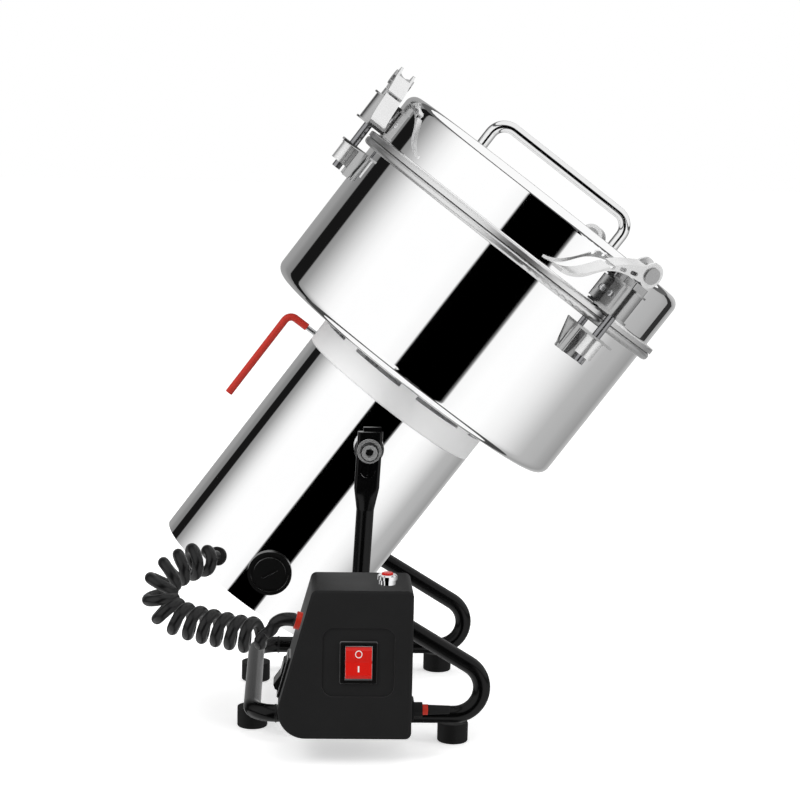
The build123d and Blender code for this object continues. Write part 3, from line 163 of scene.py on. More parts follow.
class Shade:
    """One material, with a Principled shader already on its output."""

    def __init__(self, name, **constants):
        self.material = bpy.data.materials.new(name)
        self.material.use_nodes = True
        self.tree = self.material.node_tree
        self.shader = self.tree.nodes["Principled BSDF"]
        for socket, value in constants.items():
            self.shader.inputs[socket.replace("_", " ")].default_value = value

    def node(self, kind, settings, inputs, output=0):
        made = self.tree.nodes.new(kind)
        for key, value in settings.items():
            setattr(made, key, value)
        for key, value in inputs.items():
            if isinstance(value, Value):
                self.tree.links.new(value.socket, made.inputs[key])
            else:
                made.inputs[key].default_value = value
        return Value(self, made.outputs[output])

    def place(self, centre=(0, 0, 0), turned=(0, 0, 0), scale=(1, 1, 1)):
        """Object coordinates about a centre, turned so that a pattern follows the piece."""
        where = self.node("ShaderNodeTexCoord", {}, {}, "Object")
        return self.node(
            "ShaderNodeMapping",
            {"vector_type": "TEXTURE"},
            {"Vector": where, "Location": centre, "Rotation": turned, "Scale": scale},
        )

    def split(self, where):
        """The three parts of a vector, each as a value."""
        splitter = self.node("ShaderNodeSeparateXYZ", {}, {"Vector": where}).socket.node
        return [Value(self, splitter.outputs[axis]) for axis in "XYZ"]

    def noise(self, where, scale, detail=3.0, roughness=0.55):
        return self.node(
            "ShaderNodeTexNoise",
            {},
            {"Vector": where, "Scale": scale, "Detail": detail, "Roughness": roughness},
        )

    def blend(self, factor, first, second):
        """A colour between two others."""
        return self.node(
            "ShaderNodeMix",
            {"data_type": "RGBA"},
            {0: factor, 6: first, 7: second},
            2,
        )

    def ramp(self, factor, stops):
        """A grey that follows a list of places from 0 to 1 and their brightnesses."""
        made = self.node("ShaderNodeValToRGB", {}, {"Fac": factor})
        elements = made.socket.node.color_ramp.elements
        for number, (place, bright) in enumerate(stops):
            if number < 2:
                element = elements[number]
                element.position = place
            else:
                element = elements.new(place)
            element.color = colour(grey(bright))
        return made

    def bump(self, height, depth, strength=1.0):
        return self.node("ShaderNodeBump", {}, {"Height": height, "Distance": depth, "Strength": strength})

    def feed(self, **links):
        """Link values to the shader's sockets, and give the finished material."""
        for socket, value in links.items():
            self.tree.links.new(value.socket, self.shader.inputs[socket.replace("_", " ")])
        return self.material


def grey(value):
    """A tint whose three parts are the same."""
    return (value, value, value)


def colour(tint):
    """A tint as a shader socket takes it."""
    return (*tint, 1.0)


black = colour(grey(0.0))
white = colour(grey(1.0))
print("materials are written as sums of", Value.__name__, "objects on a", Shade.__name__)

# %% [markdown]
# ## Polished sheet steel
# The bowl, lid and housing are spun and rolled stainless sheet with a mirror polish. A mirror looks
# like what stands round it, so the metal itself stays simple: nearly white, hardly rough, with
# faint wheel marks that run round the body and a slow waviness in the sheet. The marks are a noise
# of the radius and the height about the body's axis, so that they don't change on the way round.
# The rolled rims stand outside the walls, and there the metal is only brushed, so it is rougher; their
# colour is also dimmed to a darker grey as painted shade.


# %% Mirror polish with wheel marks round the body
wall_radius = 0.1305
clean_sheet = grey(0.97)
dusty_sheet = (0.95, 0.951, 0.954)
rim_shade_grey = grey(0.78)
wheel_grit = 900.0


def polished_sheet(name, rough=0.035, marks=0.02, smears=0.015, rim_rough=0.3, wave=0.0001):
    shade = Shade(name, Metallic=1.0)
    local = shade.place(pivot, (0, lean, 0))
    across, along, height = shade.split(local)
    radius = (across * across + along * along) ** 0.5
    rings = {"X": radius * wheel_grit, "Y": height * wheel_grit, "Z": 0.0}
    wheel = shade.noise(shade.node("ShaderNodeCombineXYZ", {}, rings), scale=1.0, detail=2.0)
    dust = shade.noise(local, scale=60.0, detail=4.0)
    slow = shade.noise(local, scale=9.0, detail=1.0)
    rim = radius.above(wall_radius)
    roughness = wheel.swing(marks) + dust.swing(smears) + rim * rim_rough + rough
    bright = shade.blend(dust, colour(clean_sheet), colour(dusty_sheet))
    # painted shade: the rims' colour is dimmed to a darker grey; their added roughness is the brushing
    bright = shade.blend(rim, bright, colour(rim_shade_grey))
    return shade.feed(Base_Color=bright, Roughness=roughness.held(), Normal=shade.bump(slow, wave))


polished = polished_sheet("polished_steel_sheet")
print("made", polished.name)

# %% [markdown]
# ## Smaller bright steel pieces
# The lid's handle is polished bar, the collar is satin, and the latches are cast and tumbled, so
# they are softer than the sheet and their reflections blur. On cast and turned pieces a fine grain
# shows close up. One function serves all of them, with the colour, the roughness and the grain's
# size and depth as its values.


# %% Tumbled, turned and plated metal
soft_bump = 0.6
grain_swing = 0.04


def plain_metal(name, tint, rough, grain_size=1400.0, grain_depth=0.000004, stain=0.06, metallic=1.0):
    shade = Shade(name, Metallic=metallic)
    local = shade.place()
    grain = shade.noise(local, scale=grain_size, detail=2.0)
    patches = shade.noise(local, scale=120.0, detail=4.0)
    dull = tuple(part * (1.0 - stain) for part in tint)
    base = shade.blend(patches, colour(tint), colour(dull))
    roughness = patches.swing(rough / 2) + grain.swing(grain_swing) + rough
    shade.feed(Base_Color=base, Roughness=roughness.held())
    if grain_depth:
        shade.feed(Normal=shade.bump(grain, grain_depth, soft_bump))
    return shade.material


def tumbled(name, tint, rough, metallic):
    """Latch steel from the tumbling drum, whose corners and grain are worn smooth."""
    return plain_metal(name, tint, rough, grain_size=900.0, grain_depth=0, metallic=metallic)


handle_bar = plain_metal("polished_bar", grey(0.86), 0.08, grain_depth=0)
lever_steel = tumbled("tumbled_lever_steel", grey(0.8), 0.24, 0.7)
latch_steel = tumbled("tumbled_latch_steel", grey(0.44), 0.18, 0.92)
rod_steel = tumbled("dark_rod_steel", (0.3, 0.3, 0.31), 0.2, 0.95)
collar_sheet = plain_metal("satin_collar_sheet", grey(0.98), 0.42, 900.0, 0.000006, stain=0.02, metallic=0.2)
turned_steel = plain_metal("turned_steel", (0.62, 0.62, 0.63), 0.28)
plated_screw = plain_metal("plated_screw", (0.72, 0.72, 0.73), 0.22)
bush_chrome = plain_metal("bush_chrome", (0.9, 0.9, 0.91), 0.08)
brass = plain_metal("brass", (0.78, 0.56, 0.24), 0.25)
cast_alloy = plain_metal("cast_alloy", (0.66, 0.66, 0.67), 0.45, grain_size=500.0, grain_depth=0.00012)
print("made", len(bpy.data.materials), "materials so far")

# %% [markdown]
# ## The pivot bolts' heads
# The bright steel is painted dark where a bolt's head meets its washer and down in its socket, as
# painted shade in that groove and recess. The dark ring and spot follow the radius about the tilt axis.


# %% Bright heads with dark rings
socket_radius = 0.0029
groove_starts = 0.0058
groove_ends = 0.0068
head_steel = grey(0.86)
painted_shade_grey = grey(0.03)


def ringed_bolt(name, rough=0.24, rough_swing=0.1):
    shade = Shade(name, Metallic=0.75)
    local = shade.place(pivot, (0, lean, 0))
    across, _, height = shade.split(local)
    radius = (across * across + height * height) ** 0.5
    dust = shade.noise(local, scale=400.0, detail=3.0)
    # painted shade: a dark ring where the head meets the washer, and a dark spot down in the socket
    groove = radius.above(groove_starts) - radius.above(groove_ends)
    base = shade.blend(groove + (1 - radius.above(socket_radius)), colour(head_steel), colour(painted_shade_grey))
    return shade.feed(Base_Color=base, Roughness=(dust.swing(rough_swing) + rough).held())


bright_bolt = ringed_bolt("bright_bolt")
print("made", bright_bolt.name)

# %% [markdown]
# ## Ground blades
# The blades are wear plate, surface ground, so straight scratches cross the flats. The scratches
# are a noise that is squeezed across and drawn out along one direction in the body's own frame.


# %% Surface ground plate
scratch_length = 0.05
scratch_width = 0.0006


def ground_plate(name, rough=0.3, rough_swing=0.2, depth=0.00003):
    shade = Shade(name, Metallic=1.0)
    local = shade.place(pivot, (0, lean, 0), (scratch_length, scratch_width, scratch_length))
    scratches = shade.noise(local, scale=1.0, detail=3.0)
    base = shade.blend(scratches, colour(grey(0.58)), colour(grey(0.72)))
    roughness = scratches.swing(rough_swing) + rough
    return shade.feed(Base_Color=base, Roughness=roughness.held(), Normal=shade.bump(scratches, depth))


blade_plate = ground_plate("ground_blade_plate")
print("made", blade_plate.name)

# %% [markdown]
# ## Laminations, windings and commutator
# Inside the motor the stator and armature are stacks of thin sheets, so fine rings cross them at
# right angles to the shaft, and the coils are lacquered wire laid side by side. Both are stripes:
# a sine of the distance along or across the body, as colour and as bump, and just under a third of
# the colour is left to blotches. Each finish gives its spacing, its two colours, its roughness, how
# metallic it is, the depth of its stripes, and whether they follow one another along the body.


# %% Striped finishes for the motor
blotch_share = 0.3
blotch_swing = 0.15


def striped(name, spacing, first, second, rough, metallic, depth, along=True):
    shade = Shade(name, Metallic=metallic)
    local = shade.place(pivot, (0, lean, 0))
    across, _, height = shade.split(local)
    wave = ((height if along else across) * (2 * math.pi / spacing)).wave() * 0.5 + 0.5
    spots = shade.noise(local, scale=200.0, detail=3.0)
    mixed = wave * (1 - blotch_share) + spots * blotch_share
    base = shade.blend(mixed.held(), colour(first), colour(second))
    roughness = spots.swing(blotch_swing) + rough
    return shade.feed(Base_Color=base, Roughness=roughness.held(), Normal=shade.bump(wave, depth))


laminations = striped("stacked_laminations", 0.002, (0.12, 0.12, 0.13), (0.2, 0.2, 0.21), 0.45, 0.8, 0.0001)
wire = striped("lacquered_copper_wire", 0.0016, (0.32, 0.11, 0.03), (0.55, 0.22, 0.07), 0.3, 0.7, 0.0003)
segments = striped("copper_segments", 0.003, (0.3, 0.16, 0.08), (0.72, 0.42, 0.2), 0.3, 1.0, 0.0001, False)
print("made", laminations.name, wire.name, "and", segments.name)

# %% [markdown]
# ## Black paint on the stand
# The tube is stove enamelled: glossy black with a faint orange peel and a little dust. A coat would
# double the highlights that the paint already has, so the gloss comes from a low roughness that
# the dust disturbs.


# %% Stove enamel
deep_black = (0.0014, 0.0014, 0.0015)
dusty_black = (0.0028, 0.0028, 0.0029)


def enamel(name, rough=0.2, rough_swing=0.1, peel_depth=0.00006):
    shade = Shade(name, Metallic=0.0, Specular_IOR_Level=0.2)
    local = shade.place()
    peel = shade.noise(local, scale=260.0, detail=2.0)
    dust = shade.noise(local, scale=45.0, detail=5.0)
    base = shade.blend(dust, colour(deep_black), colour(dusty_black))
    roughness = dust.swing(rough_swing) + rough
    normal = shade.bump(peel, peel_depth, strength=0.5)
    return shade.feed(Base_Color=base, Roughness=roughness.held(), Normal=normal)


stand_paint = enamel("black_stove_enamel")
print("made", stand_paint.name)

# %% [markdown]
# ## Moulded plastic and rubber
# The box is satin ABS with a fine spark-eroded grain, its switches are smooth and glossier, the
# brush caps are hard black resin and the feet are dull rubber. They are one recipe again: a
# colour, a roughness, a grain size, a grain depth, how much the surface shines, and how much lighter
# its cloudy places are.


# %% Moulded surfaces
cloud_swing = 0.12
speck_swing = 0.06


def moulded(name, tint, rough, grain_size, grain_depth, shine=0.5, spread=0.25):
    shade = Shade(name, Metallic=0.0, Specular_IOR_Level=shine)
    local = shade.place()
    grain = shade.noise(local, scale=grain_size, detail=2.0)
    cloud = shade.noise(local, scale=30.0, detail=4.0)
    lighter = tuple(part * (1.0 + spread) for part in tint)
    base = shade.blend(cloud, colour(tint), colour(lighter))
    roughness = cloud.swing(cloud_swing) + grain.swing(speck_swing) + rough
    normal = shade.bump(grain, grain_depth, soft_bump)
    return shade.feed(Base_Color=base, Roughness=roughness.held(), Normal=normal)


box_plastic = moulded("satin_box_moulding", (0.015, 0.015, 0.0152), 0.42, 1500.0, 0.00003, 0.04)
switch_plastic = moulded("glossy_switch_moulding", grey(0.004), 0.22, 2000.0, 0.00001, 0.3)
cap_resin = moulded("black_cap_resin", grey(0.0035), 0.33, 700.0, 0.00003, 0.25)
foot_rubber = moulded("foot_rubber", grey(0.0055), 0.55, 900.0, 0.00008, 0.15)
red_rocker = moulded("red_rocker_plastic", (0.6, 0.006, 0.002), 0.24, 1800.0, 0.00001, 0.3, 0.12)
red_sleeve = moulded("red_vinyl_sleeve", (0.5, 0.022, 0.01), 0.4, 600.0, 0.00002, 0.4, 0.12)
red_ring = moulded("red_vinyl_ring", (0.58, 0.018, 0.002), 0.45, 600.0, 0.00002, 0.4, 0.12)
carbon = moulded("pressed_carbon", (0.02, 0.02, 0.021), 0.5, 1200.0, 0.00005)
silicone = moulded("white_silicone", (0.62, 0.62, 0.6), 0.5, 400.0, 0.00004, 0.4, 0.08)
print("made", len(bpy.data.materials), "materials")

# %% [markdown]
# ## Dress the CAD nodes
# Each node keeps its shape and takes one finish. The table reads as a maker's parts list, and the
# last line prints any node that is missing from it.

# %% Finishes by node
finishes = {
    polished: ["bowl", "lid", "motor_housing"],
    collar_sheet: ["collar"],
    handle_bar: ["lid_handle"],
    lever_steel: ["latch_lever_1", "latch_lever_2", "latch_lever_3", "latch_nuts"],
    latch_steel: ["latch_upper_brackets", "latch_lower_brackets", "latch_barrels"],
    rod_steel: ["latch_rods"],
    turned_steel: [
        "pivot_bosses",
        "drive_shaft",
        "motor_bearings",
        "blade_spacers",
        "blade_nut",
        "tilt_handle",
    ],
    bright_bolt: ["pivot_bolts"],
    plated_screw: ["bracket_screws", "bowl_screws", "stand_screws", "brush_springs"],
    bush_chrome: ["breaker_bush"],
    brass: ["switch_terminals"],
    cast_alloy: ["bearing_plate", "lower_bracket"],
    blade_plate: ["grinding_blades"],
    laminations: ["stator_core", "armature_core"],
    wire: ["field_coils", "armature_windings"],
    segments: ["commutator"],
    stand_paint: ["front_side_tube", "rear_side_tube", "cross_tube"],
    box_plastic: [
        "control_box",
        "box_cover",
        "bottom_cover",
        "cooling_fan",
        "overload_breaker",
        "mains_gland",
    ],
    switch_plastic: ["power_switch", "side_switch", "side_rocker"],
    cap_resin: ["brush_caps", "brush_holders"],
    foot_rubber: ["rubber_feet", "cord_grommet", "shaft_seal"],
    red_rocker: ["power_rocker", "reset_button"],
    red_sleeve: ["handle_sleeve"],
    red_ring: ["cord_rings"],
    carbon: ["carbon_brushes"],
    silicone: ["lid_seal"],
}
dressed = set()
for finish, names in finishes.items():
    for name in names:
        nodes[name].data.materials.clear()
        nodes[name].data.materials.append(finish)
        dressed.add(name)
print("undressed nodes:", sorted(set(nodes) - dressed))

# %% [markdown]
# ## Handling pieces
# Every piece is modelled with the operators that an artist would use, which work on what is
# selected. A few helpers keep that selection clean, turn a piece to face a way, edit it, cut it,
# and at last bake its place into its mesh and hand it to the body that it rides on.


# %% Select, turn, edit, cut and settle
def pick(piece=None):
    """Deselect everything, and select one piece where it is given."""
    bpy.ops.object.select_all(action="DESELECT")
    if piece is not None:
        piece.select_set(True)
        bpy.context.view_layer.objects.active = piece


def facing(normal, upward=Vector((0, 0, 1))):
    """Rotation whose z looks along a normal, with its y as near upward as it can be."""
    side = upward.cross(normal).normalized()
    return Matrix((side, normal.cross(side), normal)).transposed()


def settle(piece, body, finish):
    """Bake a piece's place into its mesh, dress it and let it ride on a body."""
    pick(piece)
    bpy.ops.object.transform_apply(location=True, rotation=True, scale=True)
    piece.data.materials.clear()
    piece.data.materials.append(finish)
    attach(piece, body)
    return piece


def edit(piece, *steps):
    """Run edit-mode steps on everything in one piece."""
    pick(piece)
    bpy.ops.object.mode_set(mode="EDIT")
    bpy.ops.mesh.select_all(action="SELECT")
    for step in steps:
        step()
    bpy.ops.object.mode_set(mode="OBJECT")
    return piece


def cut_away(piece, cutter):
    """Take a cutter's shape out of a piece, and the cutter out of the scene."""
    cut = piece.modifiers.new("cut", "BOOLEAN")
    cut.operation = "DIFFERENCE"
    cut.object = cutter
    pick(piece)
    bpy.ops.object.modifier_apply(modifier=cut.name)
    bpy.data.objects.remove(cutter)


print("pieces can be picked, faced, settled, edited and cut")

# %% [markdown]
# ## The curly cord
# The cord from the box to the motor is a limp two-core lead wound into a curl, so the mill can
# tilt without pulling it tight. Its line is one smooth spline from the grommet in the housing to
# the ring in the box. The curl is a helix about that line, wound to the left: its radius grows from
# nothing where the cord leaves the grommet, and falls to nothing again before the ring. The places
# where it starts and ends are shares of the line's length. Near the box a sleeve thickens the cord.

# %% The cord's middle line
cord_radius = 0.0042
curl_radius = 0.0096
line_step = 0.0004
grommet_azimuth = -28.7
grommet_height = -0.1364
grommet_inside = 0.0755
grommet_outside = 0.0915
slant = math.radians(15.3)
box_side = -0.0405
below_edge = 0.029
ring_front = -0.135
ring_level = 0.101
ring_clear = 0.017
ring_way = Vector((-math.cos(slant), 0, math.sin(slant)))


def free_point(x, y, z):
    """A point of the route, from the tilt axis across and the floor up."""
    return Vector((pivot.x + x, pivot.y + y, z))


cord_foot = on_body(grommet_azimuth, grommet_inside, grommet_height)
cord_head = free_point(box_side - below_edge * math.tan(slant), ring_front, ring_level)
cord_points = [
    cord_foot,
    on_body(grommet_azimuth, grommet_outside, grommet_height),
    free_point(-0.154, -0.097, 0.1235),
    free_point(-0.150, -0.104, 0.097),
    free_point(-0.112, -0.116, 0.090),
    free_point(-0.072, -0.1285, 0.086),
    cord_head + ring_way * ring_clear,
    cord_head,
]


def spline_points(points):
    """Points along the smooth spline that has these control points."""
    data = bpy.data.curves.new("route", "CURVE")
    data.dimensions = "3D"
    spline = data.splines.new("NURBS")
    spline.points.add(len(points) - 1)
    for slot, point in zip(spline.points, points):
        slot.co = (*point, 1.0)
    spline.order_u = 3
    spline.use_endpoint_u = True
    spline.resolution_u = 24
    carrier = bpy.data.objects.new("route", data)
    bpy.context.scene.collection.objects.link(carrier)
    mesh = bpy.data.meshes.new_from_object(carrier)
    line = [vertex.co.copy() for vertex in mesh.vertices]
    bpy.data.objects.remove(carrier)
    return line


def even_steps(line, step):
    """The same line with points a fixed distance apart."""
    walked = [0.0]
    for here, there in zip(line, line[1:]):
        walked.append(walked[-1] + (there - here).length)
    count = max(2, round(walked[-1] / step))
    result = []
    place = 0
    for number in range(count + 1):
        wanted = walked[-1] * number / count
        while place < len(line) - 2 and walked[place + 1] < wanted:
            place += 1
        span = max(walked[place + 1] - walked[place], 1e-9)
        result.append(line[place].lerp(line[place + 1], min(1.0, (wanted - walked[place]) / span)))
    return result


cord_line = even_steps(spline_points(cord_points), line_step)
print("middle line", round(len(cord_line) * line_step, 3), "m")

# %% Wind the curl about the line
curl_starts = 0.05
curl_ends = 0.835
curl_turns = 13
first_angle = math.radians(10)
ease = 0.05


def curl_share(along):
    """How full the curl is at a share of the line's length: 0 on the straight ends, 1 between."""
    rise = min(1.0, max(0.0, (along - curl_starts) / ease))
    fall = min(1.0, max(0.0, (curl_ends - along) / ease))
    full = min(rise, fall)
    return full * full * (3 - 2 * full)


def curl_about(line, radius, turns, start):
    """A left-hand helix about a line, with the side vector carried along without twist."""
    result = []
    side = Vector((0, 0, 1))
    for number, point in enumerate(line):
        before = line[max(0, number - 1)]
        after = line[min(len(line) - 1, number + 1)]
        way = (after - before).normalized()
        side = (side - way * side.dot(way)).normalized()
        other = way.cross(side)
        along = number / (len(line) - 1)
        wound = min(1.0, max(0.0, (along - curl_starts - ease / 2) / (curl_ends - curl_starts - ease)))
        angle = start - 2 * math.pi * turns * wound
        offset = (side * math.cos(angle) + other * math.sin(angle)) * radius * curl_share(along)
        result.append(point + offset)
    return result


def tube_along(name, points, radius, swell, sides=6):
    """A closed round tube along a line of points, as a mesh; swell gives its thickness at each."""
    data = bpy.data.curves.new(name, "CURVE")
    data.dimensions = "3D"
    data.bevel_depth = radius
    data.bevel_resolution = sides
    data.use_fill_caps = True
    spline = data.splines.new("POLY")
    spline.points.add(len(points) - 1)
    for number, (slot, point) in enumerate(zip(spline.points, points)):
        slot.co = (*point, 1.0)
        slot.radius = swell(number)
    tube = bpy.data.objects.new(name, data)
    bpy.context.scene.collection.objects.link(tube)
    pick(tube)
    bpy.ops.object.convert(target="MESH")
    bpy.ops.object.shade_smooth()
    return bpy.context.object


cord_step = 0.0012
ring_depth = 0.0045
sleeve_length = 0.026
sleeve_swell = 0.2
sleeve_taper = 0.7


def sleeve_share(number):
    """How much the tapered sleeve at the box thickens the cord at one of its points."""
    from_box = (len(curl_line) - 1 - number) * cord_step - ring_depth
    if from_box < 0 or from_box > sleeve_length:
        return 1.0
    return 1.0 + sleeve_swell * (1.0 - sleeve_taper * from_box / sleeve_length)


curl_line = even_steps(curl_about(cord_line, curl_radius, curl_turns, first_angle), cord_step)
cord_length = sum((there - here).length for here, there in zip(curl_line, curl_line[1:]))
curly_cord = tube_along("curly_cord", curl_line, cord_radius, sleeve_share)
print("cord length", round(cord_length, 3), "m,", len(curly_cord.data.polygons), "faces")

# %% [markdown]
# ### The cord's finish
# Soft black vinyl: a little greyer and duller than the paint, with a slow cloudiness where it has
# been handled and a fine texture from the extruder.

cord_vinyl = moulded("soft_cord_vinyl", (0.0035, 0.0035, 0.0038), 0.3, 1300.0, 0.00002, 0.35)
curly_cord.data.materials.append(cord_vinyl)
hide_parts("cord_start", "cord_coil", "cord_end")
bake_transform(curly_cord)

# %% [markdown]
# ## Marks on the rocker
# The rocker carries a ring for off and a bar for on, printed in white. A print has almost no
# thickness, but a rise of a tenth of a millimetre keeps it clear of the face from every side.
# The places come from the rocker's own two front faces, found by their normals.

# %% Find flat faces
def flat_faces(name, way, least=0.85):
    """Centres and normals of a node's flat faces that look a given way, the largest first."""
    found = {}
    for face in nodes[name].data.polygons:
        if face.normal.dot(way) < least:
            continue
        key = tuple(round(part, 2) for part in face.normal)
        area, moment, normal = found.get(key, (0.0, Vector(), face.normal.copy()))
        found[key] = (area + face.area, moment + face.center * face.area, normal)
    ranked = sorted(found.values(), key=lambda entry: -entry[0])
    return [(moment / area, normal) for area, moment, normal in ranked]


# %% Print the ring and the bar
ring_radius = 0.0023
ring_line = 0.0003
ring_lift = 0.0018
ring_stretch = 1.1
ring_flatness = 0.3
bar_width = 0.0011
bar_height = 0.0044
bar_thick = 0.00026
bar_edge = 0.00008
mark_ink = moulded("white_mark_ink", (0.82, 0.82, 0.8), 0.45, 1500.0, 0.00001, 0.4, 0.04)
key_faces = sorted(flat_faces("power_rocker", front_way)[:2], key=lambda entry: -entry[0].z)
(ring_spot, ring_normal), (bar_spot, bar_normal) = key_faces

pick()
ring_turn = facing(ring_normal)
bpy.ops.mesh.primitive_torus_add(
    major_radius=ring_radius,
    minor_radius=ring_line,
    major_segments=48,
    minor_segments=10,
    location=ring_spot + ring_turn.col[1] * ring_lift,
    rotation=ring_turn.to_euler(),
)
off_ring = bpy.context.object
off_ring.name = "off_mark"
off_ring.scale = (1, ring_stretch, ring_flatness)
bpy.ops.object.shade_smooth()
settle(off_ring, "power_key", mark_ink)

pick()
bar_turn = facing(bar_normal)
bpy.ops.mesh.primitive_cube_add(size=1, location=bar_spot, rotation=bar_turn.to_euler())
on_bar = bpy.context.object
on_bar.name = "on_mark"
on_bar.scale = (bar_width, bar_height, bar_thick)
bpy.ops.object.transform_apply(location=False, rotation=False, scale=True)
edit(on_bar, lambda: bpy.ops.mesh.bevel(offset=bar_edge, segments=2))
settle(on_bar, "power_key", mark_ink)
print("marks at heights", round(ring_spot.z, 4), "and", round(bar_spot.z, 4))

# %% [markdown]
# ## Weld beads
# The handle's two feet are welded to the lid, and the cross tube to the side tubes. A bead is a
# ring with a slightly uneven crown, so it starts as a torus and its points are shaken a little.


# %% Lay round beads
seam_start = Vector((0.3, 1, 0.2))
crown_shake = 0.12


def weld_bead(name, centre, way, around, thick, body, finish, slot, seed):
    """A bead round a joint, whose axis looks along a way."""
    pick()
    bpy.ops.mesh.primitive_torus_add(
        major_radius=around,
        minor_radius=thick,
        major_segments=56,
        minor_segments=10,
        location=centre,
        rotation=facing(way, seam_start).to_euler(),
    )
    bead = bpy.context.object
    bead.name = name
    edit(bead, lambda: bpy.ops.transform.vertex_random(offset=thick * crown_shake, uniform=0.3, seed=seed))
    bpy.ops.object.shade_smooth()
    return settle(bead, body, finish)


lid_top_height = 0.226
handle_half = 0.064
handle_bead = (0.0047, 0.0009)
tube_bead = 0.0008
bead_sinks = 0.0002
bead_steel = plain_metal("weld_bead_steel", (0.6, 0.58, 0.56), 0.3, 700.0, 0.00008)
for number, side in enumerate((-1, 1), start=1):
    foot = pivot + body_up * lid_top_height + body_side * side * handle_half
    weld_bead(f"handle_weld_{number}", foot, body_up, *handle_bead, "lid", bead_steel, "lid_handle", number)

cross_low, cross_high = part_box("cross_tube")
seam_x = cross_high[0]
tube_centre_z = (cross_low[2] + cross_high[2]) / 2
tube_radius = (cross_high[2] - cross_low[2]) / 2
for number, seam_y in enumerate((cross_low[1] + tube_radius, cross_high[1] - tube_radius), start=1):
    weld_bead(
        f"tube_weld_{number}",
        Vector((seam_x, seam_y, tube_centre_z)),
        Vector((1, 0, 0)),
        tube_radius - bead_sinks,
        tube_bead,
        "stand",
        stand_paint,
        "cross_tube",
        number + 4,
    )
print("welds round the handle's feet and at x", round(seam_x, 4))

# %% [markdown]
# ## Cross-head screws
# The upper brackets' ears and side walls are held by domed cross-head screws. One head is modelled:
# a short cylinder with a rounded top, from which two crossed blades are cut. The others are copies,
# each stood on its own spot, which is worked out from the latch's hinge and the body's axis.


# %% Model one head
dome_share = 0.62
recess_length = 1.1
recess_width = 0.24


def cross_head(name, radius, height):
    """A domed screw head with a cross recess, standing on the origin."""
    pick()
    bpy.ops.mesh.primitive_cylinder_add(vertices=40, radius=radius, depth=height, location=(0, 0, height / 2))
    head = bpy.context.object
    head.name = name
    bpy.ops.object.transform_apply(location=True)
    rounding = head.modifiers.new("round", "BEVEL")
    rounding.width = height * dome_share
    rounding.segments = 6
    rounding.limit_method = "ANGLE"
    bpy.ops.object.modifier_apply(modifier=rounding.name)
    for turn in (0, math.pi / 2):
        pick()
        bpy.ops.mesh.primitive_cube_add(size=1, location=(0, 0, height), rotation=(0, 0, turn))
        blade = bpy.context.object
        blade.scale = (radius * recess_length, radius * recess_width, height * recess_length)
        cut_away(head, blade)
    bpy.ops.object.shade_smooth_by_angle(angle=math.radians(35))
    return head


pattern = cross_head("pattern_screw", radius=0.0027, height=0.0016)
print("pattern head of", len(pattern.data.polygons), "faces")

# %% Stand a screw on each spot
screw_height = 0.19875
ear_radius = 0.1315
ear_reach = 0.015
cheek_radius = 0.136
cheek_reach = 0.0095
first_spin = 25
next_spin = 40
screw_spots = []
for number in (1, 2, 3):
    from_pivot = Vector(joints[f"latch_{number}_turn"]["pos_m"]) - pivot
    radial = (from_pivot - body_up * from_pivot.dot(body_up)).normalized()
    round_way = body_up.cross(radial)
    level = pivot + body_up * screw_height
    for side in (-1, 1):
        turn = side * ear_reach / ear_radius
        ear_way = radial * math.cos(turn) + round_way * math.sin(turn)
        screw_spots.append((level + ear_way * ear_radius, ear_way))
        screw_spots.append((level + radial * cheek_radius + round_way * side * cheek_reach, round_way * side))
for number, (spot, way) in enumerate(screw_spots, start=1):
    copy = bpy.data.objects.new(f"bracket_screw_{number}", pattern.data.copy())
    bpy.context.scene.collection.objects.link(copy)
    spin = Matrix.Rotation(math.radians(first_spin + next_spin * number), 4, "Z")
    copy.matrix_world = Matrix.Translation(spot) @ facing(way, body_up).to_4x4() @ spin
    settle(copy, "lid", plated_screw)
    if number == 1:
        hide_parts("bracket_screws")
bpy.data.objects.remove(pattern)
print(len(screw_spots), "bracket screws")

# %% [markdown]
# ## The lower brackets' short webs
# Each lower bracket holds the draw rod's nut under its shelf, between two webs that end short of the
# nut, so that it can be turned by hand. A wide ring about the body's axis cuts the webs back there.
# The ring's core is made taller than the ring, so that it leaves no skin at the two ends.

# %% Cut the webs back
web_reach = 0.1365
ring_reach = 0.2
shelf_under = 0.1662
cutter_depth = 0.06
core_height = 1.2
same_point = 0.000002


def round_body(radius):
    """A cylinder about the body's axis, from the shelf's underside down."""
    pick()
    bpy.ops.mesh.primitive_cylinder_add(
        vertices=96,
        radius=radius,
        depth=cutter_depth,
        location=pivot + body_up * (shelf_under - cutter_depth / 2),
        rotation=facing(body_up, front_way).to_euler(),
    )
    return bpy.context.object


whole_brackets = nodes["latch_lower_brackets"]
short_brackets = bpy.data.objects.new("short_brackets", whole_brackets.data.copy())
bpy.context.scene.collection.objects.link(short_brackets)
short_brackets.matrix_world = whole_brackets.matrix_world.copy()
edit(short_brackets, lambda: bpy.ops.mesh.remove_doubles(threshold=same_point))
ring = round_body(ring_reach)
ring_core = round_body(web_reach)
ring_core.scale.z = core_height
cut_away(ring, ring_core)
cut_away(short_brackets, ring)
bpy.ops.object.shade_smooth_by_angle(angle=math.radians(30))
settle(short_brackets, "mill", latch_steel)
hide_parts("latch_lower_brackets")
print("webs cut back, faces:", len(whole_brackets.data.polygons), "to", len(short_brackets.data.polygons))

# %% [markdown]
# ## The studio
# A polished object shows its surroundings, so the studio is part of its look. The room is white to
# the camera and to reflections. The bands that run the length of the body come from a round curtain
# about the body's own axis, which keeps their edges parallel to it: a glow that fades from white to
# grey at the sides, with two black openings. Its stops pair an azimuth with a brightness, and the
# azimuth is 0 at the front. A dark hem along its top and bottom draws a line on every rounded edge.
# The curtain shows only in reflections, so it shades nothing and hides nothing.

